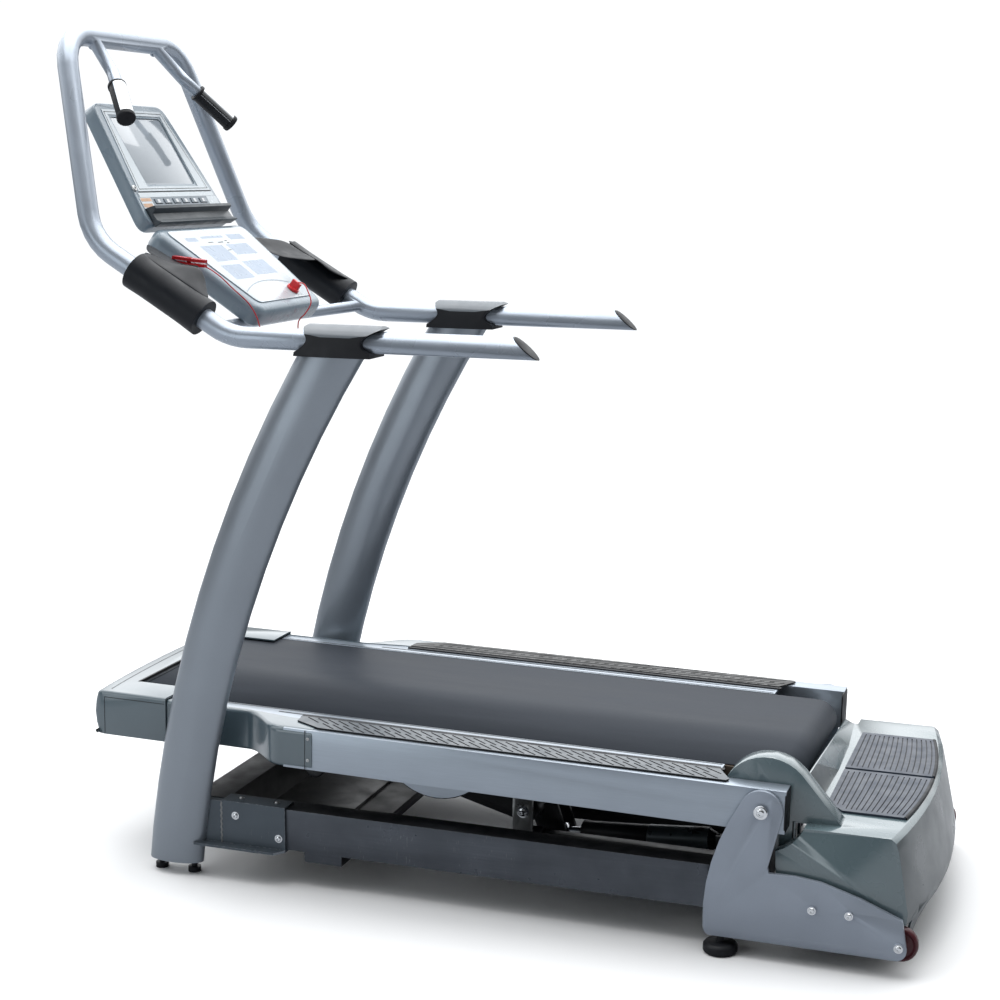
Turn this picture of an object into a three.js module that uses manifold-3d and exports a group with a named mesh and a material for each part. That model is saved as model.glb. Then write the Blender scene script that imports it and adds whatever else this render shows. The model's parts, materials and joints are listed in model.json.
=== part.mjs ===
// Powered incline treadmill: a welded base with two curved uprights, a running deck hinged at the rear,
// a lift frame and screw actuator that raise its front, and a handrail hoop with two consoles.
// Millimetres. +X is the user's left, +Y the step-on end, +Z up; the floor is z = 0.
import * as THREE from "three";
import { mergeVertices } from "three/addons/utils/BufferGeometryUtils.js";
import Module from "manifold-3d";

const wasm = await Module();
wasm.setup();

// ---- driving dimensions -------------------------------------------------------------------------------
const GAP = 0.3; // clearance between neighbours

const PIVOT = { y: 680, z: 324 }; // deck hinge, shared by the rear roller
const DECK_TILT = 0.8; // degrees, front end high
const RAIL_OUTER = 416;
const RAIL_INNER = 368;
const RAIL_TOP = 45; // heights in the deck are from the hinge
const RAIL_BOTTOM = -46.6;
const RAIL_REAR = 48;
const STRIP_INNER = 286; // inner edge of the rail's flange
const SLEEVE_START = 1017; // distances along the deck are forward from the hinge
const TUBE_FRONT = 1088;
const SHOULDER_START = 1100;
const SHOULDER_END = 1218;
const NARROW_HALF = 336;
const CAP_START = 1428;
const CAP_END = 1606;
const CAP_HALF = 341;
const CAP_BOW = 16;
const ROLLER_R = 42;
const FRONT_ROLLER = 1535;
const BELT_HALF = 280;
const BELT_THICK = 2.5;
const PAD = { rear: 76, front: 1079, inner: 334.5, outer: 402, top: 50 };

const BEAM = { inner: 328, outer: 388, bottom: 84, top: 180, front: -580, rear: 640 };
const MAST = {
  x: 394, arcY: 2180, arcZ: -281, arcR: 2893, // centre and radius of the leaning arc
  halfWide: 30, halfDeep: 67.5, foot: 30, head: 1222,
};
const PLATE = { inner: 418, outer: 428 };
const FULCRUM = { y: 76, z: 158, bracketX: 145 };
const LIFT_END = { y: -375, z: 265.5, rollerR: 25 };
const CRANK_PIN = { y: 124, z: 65 };
const ACTUATOR_BASE = { y: 530, z: 90 };
const WHEEL = { y: 970, z: 70, r: 37.5 };

const TUBE_R = 24;
const HAND_X = 394;
const RAIL_Z = 1255;
const HOOP = [[394, 175, 1255], [394, -532, 1255], [386, -877, 1459], [262, -1009, 1919]];

const HOOD = { half: 408, top: 292, wideZ: 130, skirtZ: 50, wall: 4 };
const FIN = { inner: 314, outer: 366, r: 98 };
const MOTOR = { y: 850, z: 180 };
const PULLEY_R = { roller: 62, motor: 30 };

const LOWER_CONSOLE = { y: -561, z: 1294, lean: -53.3, length: 318, narrow: 174, wide: 228, thick: 52 };
const DISPLAY = { y: -829, z: 1485, lean: -31.3, length: 333, wide: 210, narrow: 165, thick: 36 };

// ---- materials ----------------------------------------------------------------------------------------
const finish = (color, roughness, metalness) => () =>
  new THREE.MeshStandardMaterial({ color, roughness, metalness });
const silverPaint = finish(0xb9bec4, 0.35, 0.6);
const mastPaint = finish(0x8d9299, 0.4, 0.6);
const brushedSteel = finish(0x5c5e61, 0.45, 0.8);
const chromed = finish(0xd9dbde, 0.12, 1.0);
const blackSteel = finish(0x1b1c1e, 0.5, 0.4);
const hoodPlastic = finish(0x6c7c80, 0.4, 0.0);
const coverPlastic = finish(0x7c8c95, 0.4, 0.0);
const rubber = finish(0x17181a, 0.85, 0.0);
const beltRubber = finish(0x4b4d55, 0.9, 0.0);
const padGrey = finish(0x8f9499, 0.7, 0.0);
const consolePlastic = finish(0x8a98a3, 0.4, 0.0);
const panelPlastic = finish(0xc3ccd2, 0.4, 0.0);
const darkGlass = finish(0x9aa3ab, 0.08, 0.0);
const redPlastic = finish(0xb3202a, 0.4, 0.0);
const wheelRed = finish(0x6a1420, 0.5, 0.0);
const keyWhite = finish(0xe6e9ea, 0.5, 0.0);
const board = finish(0x2a2622, 0.8, 0.0);

// ---- scene graph helpers ------------------------------------------------------------------------------
const model = new THREE.Group();

function place(name, geometry, material, parent = model) {
  const mesh = new THREE.Mesh(geometry, material());
  mesh.name = name;
  parent.add(mesh);
  return mesh;
}

const radians = THREE.MathUtils.degToRad;

// ---- shape helpers ------------------------------------------------------------------------------------
function toSolid(geometry) {
  const bare = geometry.clone();
  bare.deleteAttribute("normal");
  bare.deleteAttribute("uv");
  const merged = mergeVertices(bare, 1e-4);
  return new wasm.Manifold(new wasm.Mesh({
    numProp: 3,
    vertProperties: new Float32Array(merged.attributes.position.array),
    triVerts: new Uint32Array(merged.index.array),
  }));
}

function toGeometry(solid) {
  const mesh = solid.getMesh();
  const geometry = new THREE.BufferGeometry();
  geometry.setAttribute("position", new THREE.BufferAttribute(mesh.vertProperties, 3));
  geometry.setIndex(new THREE.BufferAttribute(mesh.triVerts, 1));
  return geometry;
}

const join = (...geometries) => toGeometry(geometries.map(toSolid).reduce((a, b) => a.add(b)));
const cut = (body, ...tools) =>
  toGeometry(tools.map(toSolid).reduce((a, b) => a.subtract(b), toSolid(body)));
const common = (a, b) => toGeometry(toSolid(a).intersect(toSolid(b)));

const shapeOf = (points) => new THREE.Shape(points.map(([a, b]) => new THREE.Vector2(a, b)));

function extruded(shape, depth, curveSegments = 6) {
  return new THREE.ExtrudeGeometry(shape, { depth, bevelEnabled: false, steps: 1, curveSegments });
}

// outline in (y, z), extruded along X
function prismX(outline, x0, x1, segments) {
  const shape = outline instanceof THREE.Shape ? outline : shapeOf(outline);
  const turn = new THREE.Matrix4().makeBasis(
    new THREE.Vector3(0, 1, 0), new THREE.Vector3(0, 0, 1), new THREE.Vector3(1, 0, 0));
  return extruded(shape, x1 - x0, segments).applyMatrix4(turn).translate(x0, 0, 0);
}

// outline in (x, y), extruded along Z
function prismZ(outline, z0, z1, segments) {
  const shape = outline instanceof THREE.Shape ? outline : shapeOf(outline);
  return extruded(shape, z1 - z0, segments).translate(0, 0, z0);
}

const block = (x0, x1, y0, y1, z0, z1) =>
  new THREE.BoxGeometry(x1 - x0, y1 - y0, z1 - z0).translate((x0 + x1) / 2, (y0 + y1) / 2, (z0 + z1) / 2);

function cylinderX(y, z, r, x0, x1, segments = 24) {
  return new THREE.CylinderGeometry(r, r, x1 - x0, segments)
    .rotateZ(Math.PI / 2).translate((x0 + x1) / 2, y, z);
}

function cylinderZ(x, y, r, z0, z1, segments = 16) {
  return new THREE.CylinderGeometry(r, r, z1 - z0, segments)
    .rotateX(Math.PI / 2).translate(x, y, (z0 + z1) / 2);
}

// closed outline [[radius, along], ...] turned about the Y axis
function turned(profile, segments = 24) {
  const points = profile.map(([r, along]) => new THREE.Vector2(r, along));
  if (THREE.ShapeUtils.isClockWise(points)) points.reverse();
  return new THREE.LatheGeometry([...points, points[0]], segments);
}

const turnedX = (profile, y, z, x0, segments) =>
  turned(profile, segments).rotateZ(-Math.PI / 2).translate(x0, y, z);

// both ends of a straight strut in the YZ plane, rounded to two radii
function taperedBar(a, b, radiusA, radiusB) {
  const heading = Math.atan2(b.z - a.z, b.y - a.y);
  const shape = new THREE.Shape();
  const quarter = Math.PI / 2;
  shape.absarc(a.y, a.z, radiusA, heading + quarter, heading + 3 * quarter, false);
  shape.absarc(b.y, b.z, radiusB, heading - quarter, heading + quarter, false);
  return shape;
}

function roundedRect(x0, x1, y0, y1, r) {
  const shape = new THREE.Shape();
  shape.moveTo(x0 + r, y0);
  shape.lineTo(x1 - r, y0);
  shape.absarc(x1 - r, y0 + r, r, -Math.PI / 2, 0, false);
  shape.absarc(x1 - r, y1 - r, r, 0, Math.PI / 2, false);
  shape.absarc(x0 + r, y1 - r, r, Math.PI / 2, Math.PI, false);
  shape.absarc(x0 + r, y0 + r, r, Math.PI, 1.5 * Math.PI, false);
  return shape;
}

// A path of straight runs and round bends whose sample points sit only where the shape needs them.
class BentPath extends THREE.Curve {
  constructor(corners, radii, arcSteps = 6) {
    super();
    this.stops = [corners[0].clone()];
    for (let i = 1; i < corners.length - 1; i++) {
      const into = corners[i].clone().sub(corners[i - 1]).normalize();
      const out = corners[i + 1].clone().sub(corners[i]).normalize();
      const reach = radii[i - 1] * Math.tan(into.angleTo(out) / 2);
      const start = corners[i].clone().addScaledVector(into, -reach);
      const inward = out.clone().addScaledVector(into, -out.dot(into)).normalize();
      const centre = start.clone().addScaledVector(inward, radii[i - 1]);
      const sweep = into.angleTo(out);
      for (let k = 0; k <= arcSteps; k++) {
        const angle = (sweep * k) / arcSteps;
        this.stops.push(centre.clone()
          .addScaledVector(inward, -radii[i - 1] * Math.cos(angle))
          .addScaledVector(into, radii[i - 1] * Math.sin(angle)));
      }
    }
    this.stops.push(corners[corners.length - 1].clone());
    this.steps = this.stops.length - 1;
  }

  getPoint(t, target = new THREE.Vector3()) {
    return target.copy(this.stops[Math.min(this.steps, Math.max(0, Math.round(t * this.steps)))]);
  }

  getPointAt(u, target) {
    return this.getPoint(u, target);
  }

  getTangent(t, target = new THREE.Vector3()) {
    const i = Math.min(this.steps, Math.max(0, Math.round(t * this.steps)));
    const before = this.stops[Math.max(0, i - 1)];
    const after = this.stops[Math.min(this.steps, i + 1)];
    const here = this.stops[i];
    const into = i > 0 ? here.clone().sub(before).normalize() : new THREE.Vector3();
    const out = i < this.steps ? after.clone().sub(here).normalize() : new THREE.Vector3();
    return target.copy(into.add(out).normalize());
  }

  getTangentAt(u, target) {
    return this.getTangent(u, target);
  }
}

// The tube has twice as many facets round it as the given curve segments.
function bentTube(corners, radii, tubeRadius, curveSegments = 9, arcSteps = 6) {
  const path = new BentPath(corners.map(([x, y, z]) => new THREE.Vector3(x, y, z)), radii, arcSteps);
  const section = new THREE.Shape().absarc(0, 0, tubeRadius, 0, 2 * Math.PI, false);
  return new THREE.ExtrudeGeometry(section, {
    steps: path.steps, curveSegments, bevelEnabled: false, extrudePath: path,
  });
}

const mirrored = (points) => points.map(([x, ...rest]) => [-x, ...rest]);
const sides = [["left", 1], ["right", -1]];
const span = (side, a, b) => (side > 0 ? [a, b] : [-b, -a]);

// Closed solid through a row of cross sections, each a list of (y, z) at its own x, with x rising.
function lofted(stations) {
  const flat = (points) => points.map(([y, z]) => new THREE.Vector2(y, z));
  const ordered = THREE.ShapeUtils.isClockWise(flat(stations[0].points))
    ? stations.map(({ x, points }) => ({ x, points: [...points].reverse() }))
    : stations;
  const ring = ordered[0].points.length;
  const positions = ordered.flatMap(({ x, points }) => points.flatMap(([y, z]) => [x, y, z]));
  const index = [];
  for (let s = 0; s < ordered.length - 1; s++) {
    for (let i = 0; i < ring; i++) {
      const a = s * ring + i;
      const b = s * ring + ((i + 1) % ring);
      index.push(a, b, b + ring, a, b + ring, a + ring);
    }
  }
  const last = (ordered.length - 1) * ring;
  THREE.ShapeUtils.triangulateShape(flat(ordered[0].points), []).forEach(([a, b, c]) => {
    index.push(a, c, b);
    index.push(last + a, last + b, last + c);
  });
  const geometry = new THREE.BufferGeometry();
  geometry.setAttribute("position", new THREE.Float32BufferAttribute(positions, 3));
  geometry.setIndex(index);
  return geometry;
}

// ---- base ---------------------------------------------------------------------------------------------
function baseFrame() {
  const pieces = [];
  for (const [, side] of sides) {
    pieces.push(block(...span(side, BEAM.inner, BEAM.outer), BEAM.front, BEAM.rear, BEAM.bottom, BEAM.top));
    pieces.push(block(...span(side, FULCRUM.bracketX, FULCRUM.bracketX + 12),
      FULCRUM.y - 25, FULCRUM.y + 22, 90, FULCRUM.z + 42)); // fulcrum bracket
    pieces.push(block(...span(side, 85, BEAM.inner + 1), 46, 106, 85, 100)); // fulcrum outrigger
    pieces.push(block(...span(side, 85, 115), 100, 570, 66, 96)); // centre rail
    pieces.push(block(...span(side, 30, 38), 505, 570, 68, 112)); // actuator lug
  }
  pieces.push(block(-362, 362, -662, BEAM.front + 1, BEAM.bottom, BEAM.top)); // front cross beam
  pieces.push(block(-BEAM.outer, BEAM.outer, -372, -280, 61, BEAM.bottom + 1)); // front channel
  pieces.push(block(-BEAM.inner - 1, BEAM.inner + 1, BEAM.front - 1, -371, BEAM.bottom, 92)); // floor plate
  pieces.push(block(-PLATE.inner + GAP, PLATE.inner - GAP, 566, 650, 60, 140)); // rear cross beam
  pieces.push(cylinderX(ACTUATOR_BASE.y, ACTUATOR_BASE.z, 7.5, -38, 38, 20)); // actuator's rear pin
  const axleHoles = cylinderX(FULCRUM.y, FULCRUM.z, 10 + GAP, -200, 200, 24);
  return cut(join(...pieces), axleHoles);
}

const mastPoint = (degrees) => new THREE.Vector3(
  0,
  MAST.arcY - MAST.arcR * Math.cos(radians(degrees)),
  MAST.arcZ + MAST.arcR * Math.sin(radians(degrees)));

class MastArc extends THREE.Curve {
  getPoint(t, target = new THREE.Vector3()) {
    return target.copy(mastPoint(5.2 + 27.2 * t));
  }
}

function upright(side) {
  const steps = 12;
  const section = new THREE.Shape().absellipse(0, 0, MAST.halfWide, MAST.halfDeep, 0, 2 * Math.PI, false, 0);
  const bar = new THREE.ExtrudeGeometry(section, {
    steps, curveSegments: 12, bevelEnabled: false, extrudePath: new MastArc(),
  }).translate(side * MAST.x, 0, 0);
  const [x0, x1] = span(side, MAST.x - 60, MAST.x + 60);
  const tube = common(bar, block(x0, x1, -900, 0, MAST.foot, MAST.head));
  const sideBracket = block(...span(side, BEAM.outer + GAP, BEAM.outer + 5), -578, -418, 80, 183);
  const web = block(...span(side, 376, BEAM.outer + 5), -640, BEAM.front - GAP, 80, 183);
  const sole = prismZ([
    [side * 340, -640], [side * 418, -640], [side * 418, -436], [side * 394, -418], [side * 340, -418],
  ], 78, BEAM.bottom - GAP);
  const lip = block(...span(side, 345, BEAM.outer + 5), -578, -418, BEAM.top + GAP, BEAM.top + 5);
  const crossBeamRoom = block(...span(side, 300, 362 + GAP), -700, -579, 60, 200);
  return cut(join(tube, web, sideBracket, sole, lip), crossBeamRoom);
}

function frontFoot(side) {
  const x = side * 383;
  const pads = [-742, -657].map((y) => join(cylinderZ(x, y, 15, 0, 12), cylinderZ(x, y, 7, 11, 27, 16)));
  return join(...pads, block(x - 8, x + 8, -742, -657, 26, MAST.foot - GAP));
}

function rearFoot(side) {
  const x = side * 409;
  const y = 599;
  const outline = [[0, 0], [33, 0], [36.5, 4], [36.5, 17], [31, 23], [8, 24], [8, 60 - GAP], [0, 60 - GAP]];
  return turned(outline, 24).rotateX(Math.PI / 2).translate(x, y, 0);
}

function sidePlateOutline() {
  const shape = new THREE.Shape();
  shape.moveTo(577, 41);
  shape.lineTo(960, 41);
  shape.absarc(963, 64, 23, -Math.PI / 2, 0.12, false);
  shape.lineTo(975, 128);
  shape.lineTo(891, 162);
  shape.lineTo(808, 187);
  shape.lineTo(757, 193);
  shape.lineTo(700, 193);
  shape.lineTo(697, 205);
  shape.lineTo(716, 283);
  shape.absarc(PIVOT.y, PIVOT.z, 45, radians(-18), radians(155), false);
  shape.quadraticCurveTo(556, 205, 564, 60);
  shape.quadraticCurveTo(566, 44, 577, 41);
  return shape;
}

function sidePlate(side) {
  const plate = prismX(sidePlateOutline(), ...span(side, PLATE.inner, PLATE.outer));
  const hole = cylinderX(PIVOT.y, PIVOT.z, 10 + GAP, ...span(side, 400, 440), 24);
  const axle = cylinderX(WHEEL.y, WHEEL.z, 6, ...span(side, 386, PLATE.outer + 5), 20);
  const heads = [[792, 127], [868, 126]].map(([y, z]) =>
    cylinderX(y, z, 8, ...span(side, PLATE.outer - 1, PLATE.outer + 5), 18));
  const axleHead = cylinderX(WHEEL.y, WHEEL.z, 11, ...span(side, PLATE.outer - 1, PLATE.outer + 5), 20);
  return join(cut(plate, hole), axle, axleHead, ...heads);
}

const pivotBolt = (side) => join(
  cylinderX(PIVOT.y, PIVOT.z, 10, ...span(side, 378, PLATE.outer + 1), 24),
  cylinderX(PIVOT.y, PIVOT.z, 15, ...span(side, PLATE.outer + GAP, PLATE.outer + 8), 24));

function transportWheel(side) {
  const half = [[6 + GAP, 11], [16, 11], [18, 8], [28, 8], [31, 11], [34, 11], [WHEEL.r, 6]];
  const profile = [...half.map(([r, along]) => [r, -along]), ...half.reverse()];
  return turnedX(profile, WHEEL.y, WHEEL.z, side * 402, 24);
}

place("base_frame", baseFrame(), brushedSteel);
for (const [label, side] of sides) {
  place(`upright_${label}`, upright(side), mastPaint);
  place(`front_foot_${label}`, frontFoot(side), rubber);
  place(`rear_foot_${label}`, rearFoot(side), rubber);
  place(`side_plate_${label}`, sidePlate(side), silverPaint);
  place(`pivot_bolt_${label}`, pivotBolt(side), chromed);
  place(`transport_wheel_${label}`, transportWheel(side), wheelRed);
}
place("fulcrum_axle", cylinderX(FULCRUM.y, FULCRUM.z, 10, -163, 163, 24), chromed);

// ---- handrail -----------------------------------------------------------------------------------------
const HANDLE = [[141, -1009, 1917], [169, -938, 1833], [256, -857, 1731]];

function handrailHoop() {
  const left = HOOP;
  const right = mirrored(HOOP).reverse();
  const hoop = bentTube([...left, ...right], [150, 150, 105, 105, 150, 150], TUBE_R, 8, 5);
  const handles = [HANDLE, mirrored(HANDLE)].map((points) => bentTube(points, [60], 15, 7, 4));
  const crossbar = bentTube(
    [[388, -560, 1270], [200, -632, 1262], [-200, -632, 1262], [-388, -560, 1270]], [40, 40], 14, 7, 3);
  const ends = sides.map(([, side]) => slantedEnd(side, 0, 200));
  return cut(join(hoop, ...handles, crossbar), ...ends);
}

// wedge beyond the slanted face at a handrail's end, from one distance past the face to another
function slantedEnd(side, from, to) {
  const length = to - from;
  return new THREE.BoxGeometry(90, length, 200)
    .translate(0, from + length / 2, 0).rotateX(radians(48))
    .translate(side * HAND_X, 149, RAIL_Z);
}

function handrailCap(side) {
  const stem = new THREE.CylinderGeometry(TUBE_R, TUBE_R, 140, 20).translate(side * HAND_X, 149, RAIL_Z);
  return common(stem, slantedEnd(side, GAP, 3));
}

// waisted clamp over the handrail: flared foot on the mast head, crowned top bulging outwards at its middle
function clamp(side) {
  const profile = new THREE.Shape();
  profile.moveTo(-364, 1223);
  profile.lineTo(-362, 1232);
  profile.quadraticCurveTo(-328, 1250, -332, 1264);
  profile.lineTo(-344, 1286);
  profile.lineTo(-340, 1291);
  profile.lineTo(-170, 1291);
  profile.lineTo(-164, 1285);
  profile.quadraticCurveTo(-206, 1268, -207, 1252);
  profile.quadraticCurveTo(-206, 1240, -186, 1234);
  profile.lineTo(-184, 1223);
  const body = prismX(profile, ...span(side, HAND_X - 46, HAND_X + 46));
  const plan = new THREE.Shape();
  plan.moveTo(side * HAND_X - 38, -366);
  plan.quadraticCurveTo(side * HAND_X - 54, -262, side * HAND_X - 38, -162);
  plan.lineTo(side * HAND_X + 38, -162);
  plan.quadraticCurveTo(side * HAND_X + 54, -262, side * HAND_X + 38, -366);
  const waist = prismZ(plan, 1200, 1300, 3);
  const crown = new THREE.CylinderGeometry(54, 54, 300, 48).translate(side * HAND_X, -262, 1237);
  const foot = block(...span(side, HAND_X - 60, HAND_X + 60), -400, -140, 1200, 1240);
  const bore = new THREE.CylinderGeometry(TUBE_R + 0.7, TUBE_R + 0.7, 300, 24)
    .translate(side * HAND_X, -256, RAIL_Z);
  return cut(common(common(body, waist), join(crown, foot)), bore);
}

function grabGrip(side) {
  const [, bend, tip] = HANDLE;
  const from = new THREE.Vector3(...bend);
  const to = new THREE.Vector3(...tip);
  const reach = to.clone().sub(from).normalize();
  const length = from.distanceTo(to);
  const bore = 15 + GAP;
  const sleeve = turned(
    [[0, length + 6], [20, length + 6], [20, 44], [bore, 44], [bore, length + 1], [0, length + 1]], 20);
  sleeve.applyQuaternion(new THREE.Quaternion().setFromUnitVectors(new THREE.Vector3(0, 1, 0), reach));
  sleeve.translate(from.x, from.y, from.z);
  return side > 0 ? sleeve : flipX(sleeve);
}

function flipX(geometry) {
  const copy = geometry.clone().scale(-1, 1, 1);
  const index = copy.index.array;
  for (let i = 0; i < index.length; i += 3) [index[i + 1], index[i + 2]] = [index[i + 2], index[i + 1]];
  return copy;
}

// moulded holder wrapped round the sloping tube, with a shallow tray reaching inwards
function handPad(side) {
  const low = new THREE.Vector3(...HOOP[1]);
  const high = new THREE.Vector3(...HOOP[2]);
  const along = high.clone().sub(low);
  const at = (t) => low.clone().addScaledVector(along, t);
  const sleeve = bentTube([at(0.19).toArray(), at(0.68).toArray()], [], 38, 10);
  const profile = [
    [-806, 1431], [-775, 1453], [-672, 1410], [-614, 1394], [-626, 1362], [-652, 1344], [-790, 1421]];
  const hollow = [[-820, 1441], [-772, 1466], [-600, 1424], [-600, 1412], [-672, 1398], [-790, 1436]];
  const tray = cut(prismX(profile, 232, 384), prismX(hollow, 262, 322));
  const bore = bentTube([at(0.1).toArray(), at(0.95).toArray()], [], TUBE_R + 0.5, 10);
  const pad = cut(join(sleeve, tray), bore);
  return side > 0 ? pad : flipX(pad);
}

place("handrail_hoop", handrailHoop(), silverPaint);
for (const [label, side] of sides) {
  place(`handrail_cap_${label}`, handrailCap(side), rubber);
  place(`clamp_${label}`, clamp(side), rubber);
  place(`grab_grip_${label}`, grabGrip(side), rubber);
  place(`hand_pad_${label}`, handPad(side), rubber);
}

// ---- consoles: local x to the user's right, y up the face, z out of it -----------------------
function facing({ y, z, lean }) {
  const group = new THREE.Group();
  const up = new THREE.Vector3(0, Math.sin(radians(lean)), Math.cos(radians(lean)));
  const out = new THREE.Vector3(0, up.z, -up.y);
  const turn = new THREE.Matrix4().makeBasis(new THREE.Vector3(-1, 0, 0), up, out);
  group.quaternion.setFromRotationMatrix(turn);
  group.position.set(0, y, z);
  model.add(group);
  return group;
}

function trapezoid(halfLow, halfHigh, y0, y1, r) {
  const shape = new THREE.Shape();
  const corners = [[halfLow, y0], [halfHigh, y1], [-halfHigh, y1], [-halfLow, y0]]
    .map(([x, y]) => new THREE.Vector2(x, y));
  corners.forEach((corner, i) => {
    const before = corners[(i + 3) % 4].clone().sub(corner).setLength(r).add(corner);
    const after = corners[(i + 1) % 4].clone().sub(corner).setLength(r).add(corner);
    if (i === 0) shape.moveTo(before.x, before.y);
    else shape.lineTo(before.x, before.y);
    shape.quadraticCurveTo(corner.x, corner.y, after.x, after.y);
  });
  shape.closePath();
  return shape;
}

const lowerFace = facing(LOWER_CONSOLE);
const lowerBody = trapezoid(LOWER_CONSOLE.narrow, LOWER_CONSOLE.wide, 0, LOWER_CONSOLE.length, 26);
place("lower_console", prismZ(lowerBody, -LOWER_CONSOLE.thick, 0, 4), consolePlastic, lowerFace);
const OVERLAY = { half: 148, wide: 196, y0: 28, y1: 296 };
place("console_overlay",
  prismZ(trapezoid(OVERLAY.half, OVERLAY.wide, OVERLAY.y0, OVERLAY.y1, 20), GAP, 2.5, 5),
  panelPlastic, lowerFace);

const SCREEN = { y0: 111, y1: 293, half: 118 };
const KEY = { count: 6, y: 64, pitch: 44, w: 32, h: 12 };
const displayFace = facing(DISPLAY);

function displayHousing() {
  const outline = trapezoid(DISPLAY.wide, DISPLAY.narrow, 0, DISPLAY.length, 34);
  const outer = prismZ(outline, -DISPLAY.thick, 0, 5);
  const pockets = keyPlaces().map((x) =>
    block(x - KEY.w / 2 - 0.4, x + KEY.w / 2 + 0.4,
      KEY.y - KEY.h / 2 - 0.4, KEY.y + KEY.h / 2 + 0.4, -9, 5));
  const window = prismZ(
    roundedRect(-SCREEN.half - 1, SCREEN.half + 1, SCREEN.y0 - 1, SCREEN.y1 + 1, 9), -8, 5, 4);
  return cut(outer, window, ...pockets);
}

function keyPlaces() {
  return Array.from({ length: KEY.count }, (_, i) => (i - (KEY.count - 1) / 2) * KEY.pitch);
}

place("display_housing", displayHousing(), consolePlastic, displayFace);
place("display_screen",
  prismZ(roundedRect(-SCREEN.half, SCREEN.half, SCREEN.y0, SCREEN.y1, 8), -8 + GAP, -2, 4),
  darkGlass, displayFace);
place("display_tray",
  prismX([[-4, GAP], [46, GAP], [40, 26], [32, 26], [26, 12], [8, 14], [-4, 25]], -190, 190),
  rubber, displayFace);
keyPlaces().forEach((x, i) => place(`display_key_${i + 1}`,
  block(x - KEY.w / 2, x + KEY.w / 2, KEY.y - KEY.h / 2, KEY.y + KEY.h / 2, -6, 3), keyWhite, displayFace));

const SAFETY_KEY = { x: 75, y: 55 };
place("safety_key", join(
  cylinderZ(SAFETY_KEY.x, SAFETY_KEY.y, 16, 3, 9, 20),
  block(SAFETY_KEY.x - 5, SAFETY_KEY.x + 5, SAFETY_KEY.y - 12, SAFETY_KEY.y + 12, 8, 26)),
redPlastic, lowerFace);

// ---- rear hood ----------------------------------------------------------------------------------------
const hoodRear = (x, peak, sag) => peak - sag * (x / HOOD.half) ** 2;

function hoodSection(x, inset) {
  const topY = hoodRear(x, 997, 42) - inset;
  const wideY = hoodRear(x, 1033, 50) - inset;
  const floor = inset ? 60 : 112;
  return [
    [738 + inset, floor], [wideY - 2, floor], [wideY, HOOD.wideZ + 6],
    [topY + 5, HOOD.top - 26 - inset], [topY - 1, HOOD.top - 9 - inset], [topY - 12, HOOD.top - inset],
    [738 + inset, HOOD.top - inset],
  ];
}

function stationsAcross(half, count, section) {
  return Array.from({ length: count + 1 }, (_, i) => {
    const x = -half + (2 * half * i) / count;
    return { x, points: section(x) };
  });
}

// lower lip of the hood, turned in towards the floor between the side plates
function hoodSkirt(x) {
  const wideY = hoodRear(x, 1033, 50) - 1;
  const lowY = hoodRear(x, 988, 14);
  return [[wideY, 120], [lowY, HOOD.skirtZ], [lowY - HOOD.wall, HOOD.skirtZ], [wideY - HOOD.wall - 1, 120]];
}

// splash wall behind the belt: tall beside the pulley cover, low at the far side
function apronSection(x) {
  const t = (x + 362) / (FIN.inner + 362);
  const crestZ = 302 + 66 * t;
  const crestY = 737 + 16 * t;
  const creaseY = 776 - 18 * (x / 360) ** 2;
  return [[738, 286], [crestY - 3, crestZ], [crestY, crestZ], [creaseY, HOOD.top - 1], [creaseY, 286]];
}

// side cheek outside the deck rail, hollowed round the rail's swinging end
function hoodCheek(side) {
  const shape = new THREE.Shape();
  shape.moveTo(700, 196);
  shape.absarc(PIVOT.y, PIVOT.z, 92, radians(-72), radians(-20.4), false);
  shape.lineTo(800, HOOD.top);
  shape.lineTo(800, 112);
  shape.lineTo(760, 112);
  shape.lineTo(712, 165);
  return prismX(shape, ...span(side, 372, HOOD.half), 5);
}

function rearHood() {
  const shell = cut(lofted(stationsAcross(HOOD.half, 12, (x) => hoodSection(x, 0))),
    lofted(stationsAcross(HOOD.half - HOOD.wall, 12, (x) => hoodSection(x, HOOD.wall))));
  const skirt = lofted(stationsAcross(372, 10, hoodSkirt));
  const apron = lofted([-362, -180, 0, 160, FIN.inner - GAP].map((x) => ({ x, points: apronSection(x) })));
  const beltSlot = block(FIN.inner + 5, FIN.outer - 4, 730, 826, 100, 320);
  const frontOpening = block(-300, 300, 730, 750, 100, 262);
  const railRoom = sides.map(([, side]) =>
    cylinderX(PIVOT.y, PIVOT.z, 92, ...span(side, FIN.outer + GAP, 420), 48));
  return cut(join(shell, skirt, apron, hoodCheek(1), hoodCheek(-1)),
    beltSlot, frontOpening, finSolid(GAP), ...railRoom);
}

function finOutline(r) {
  const shape = new THREE.Shape();
  const tangent = radians(43);
  shape.moveTo(838, HOOD.top - 2);
  shape.lineTo(PIVOT.y + r * Math.cos(tangent), PIVOT.z + r * Math.sin(tangent));
  shape.absarc(PIVOT.y, PIVOT.z, r, tangent, radians(250), false);
  shape.lineTo(735, 216);
  shape.lineTo(735, HOOD.top - 2);
  return shape;
}

const finSolid = (grow) => prismX(finOutline(FIN.r + grow), FIN.inner - grow, FIN.outer + grow, 10);

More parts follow.
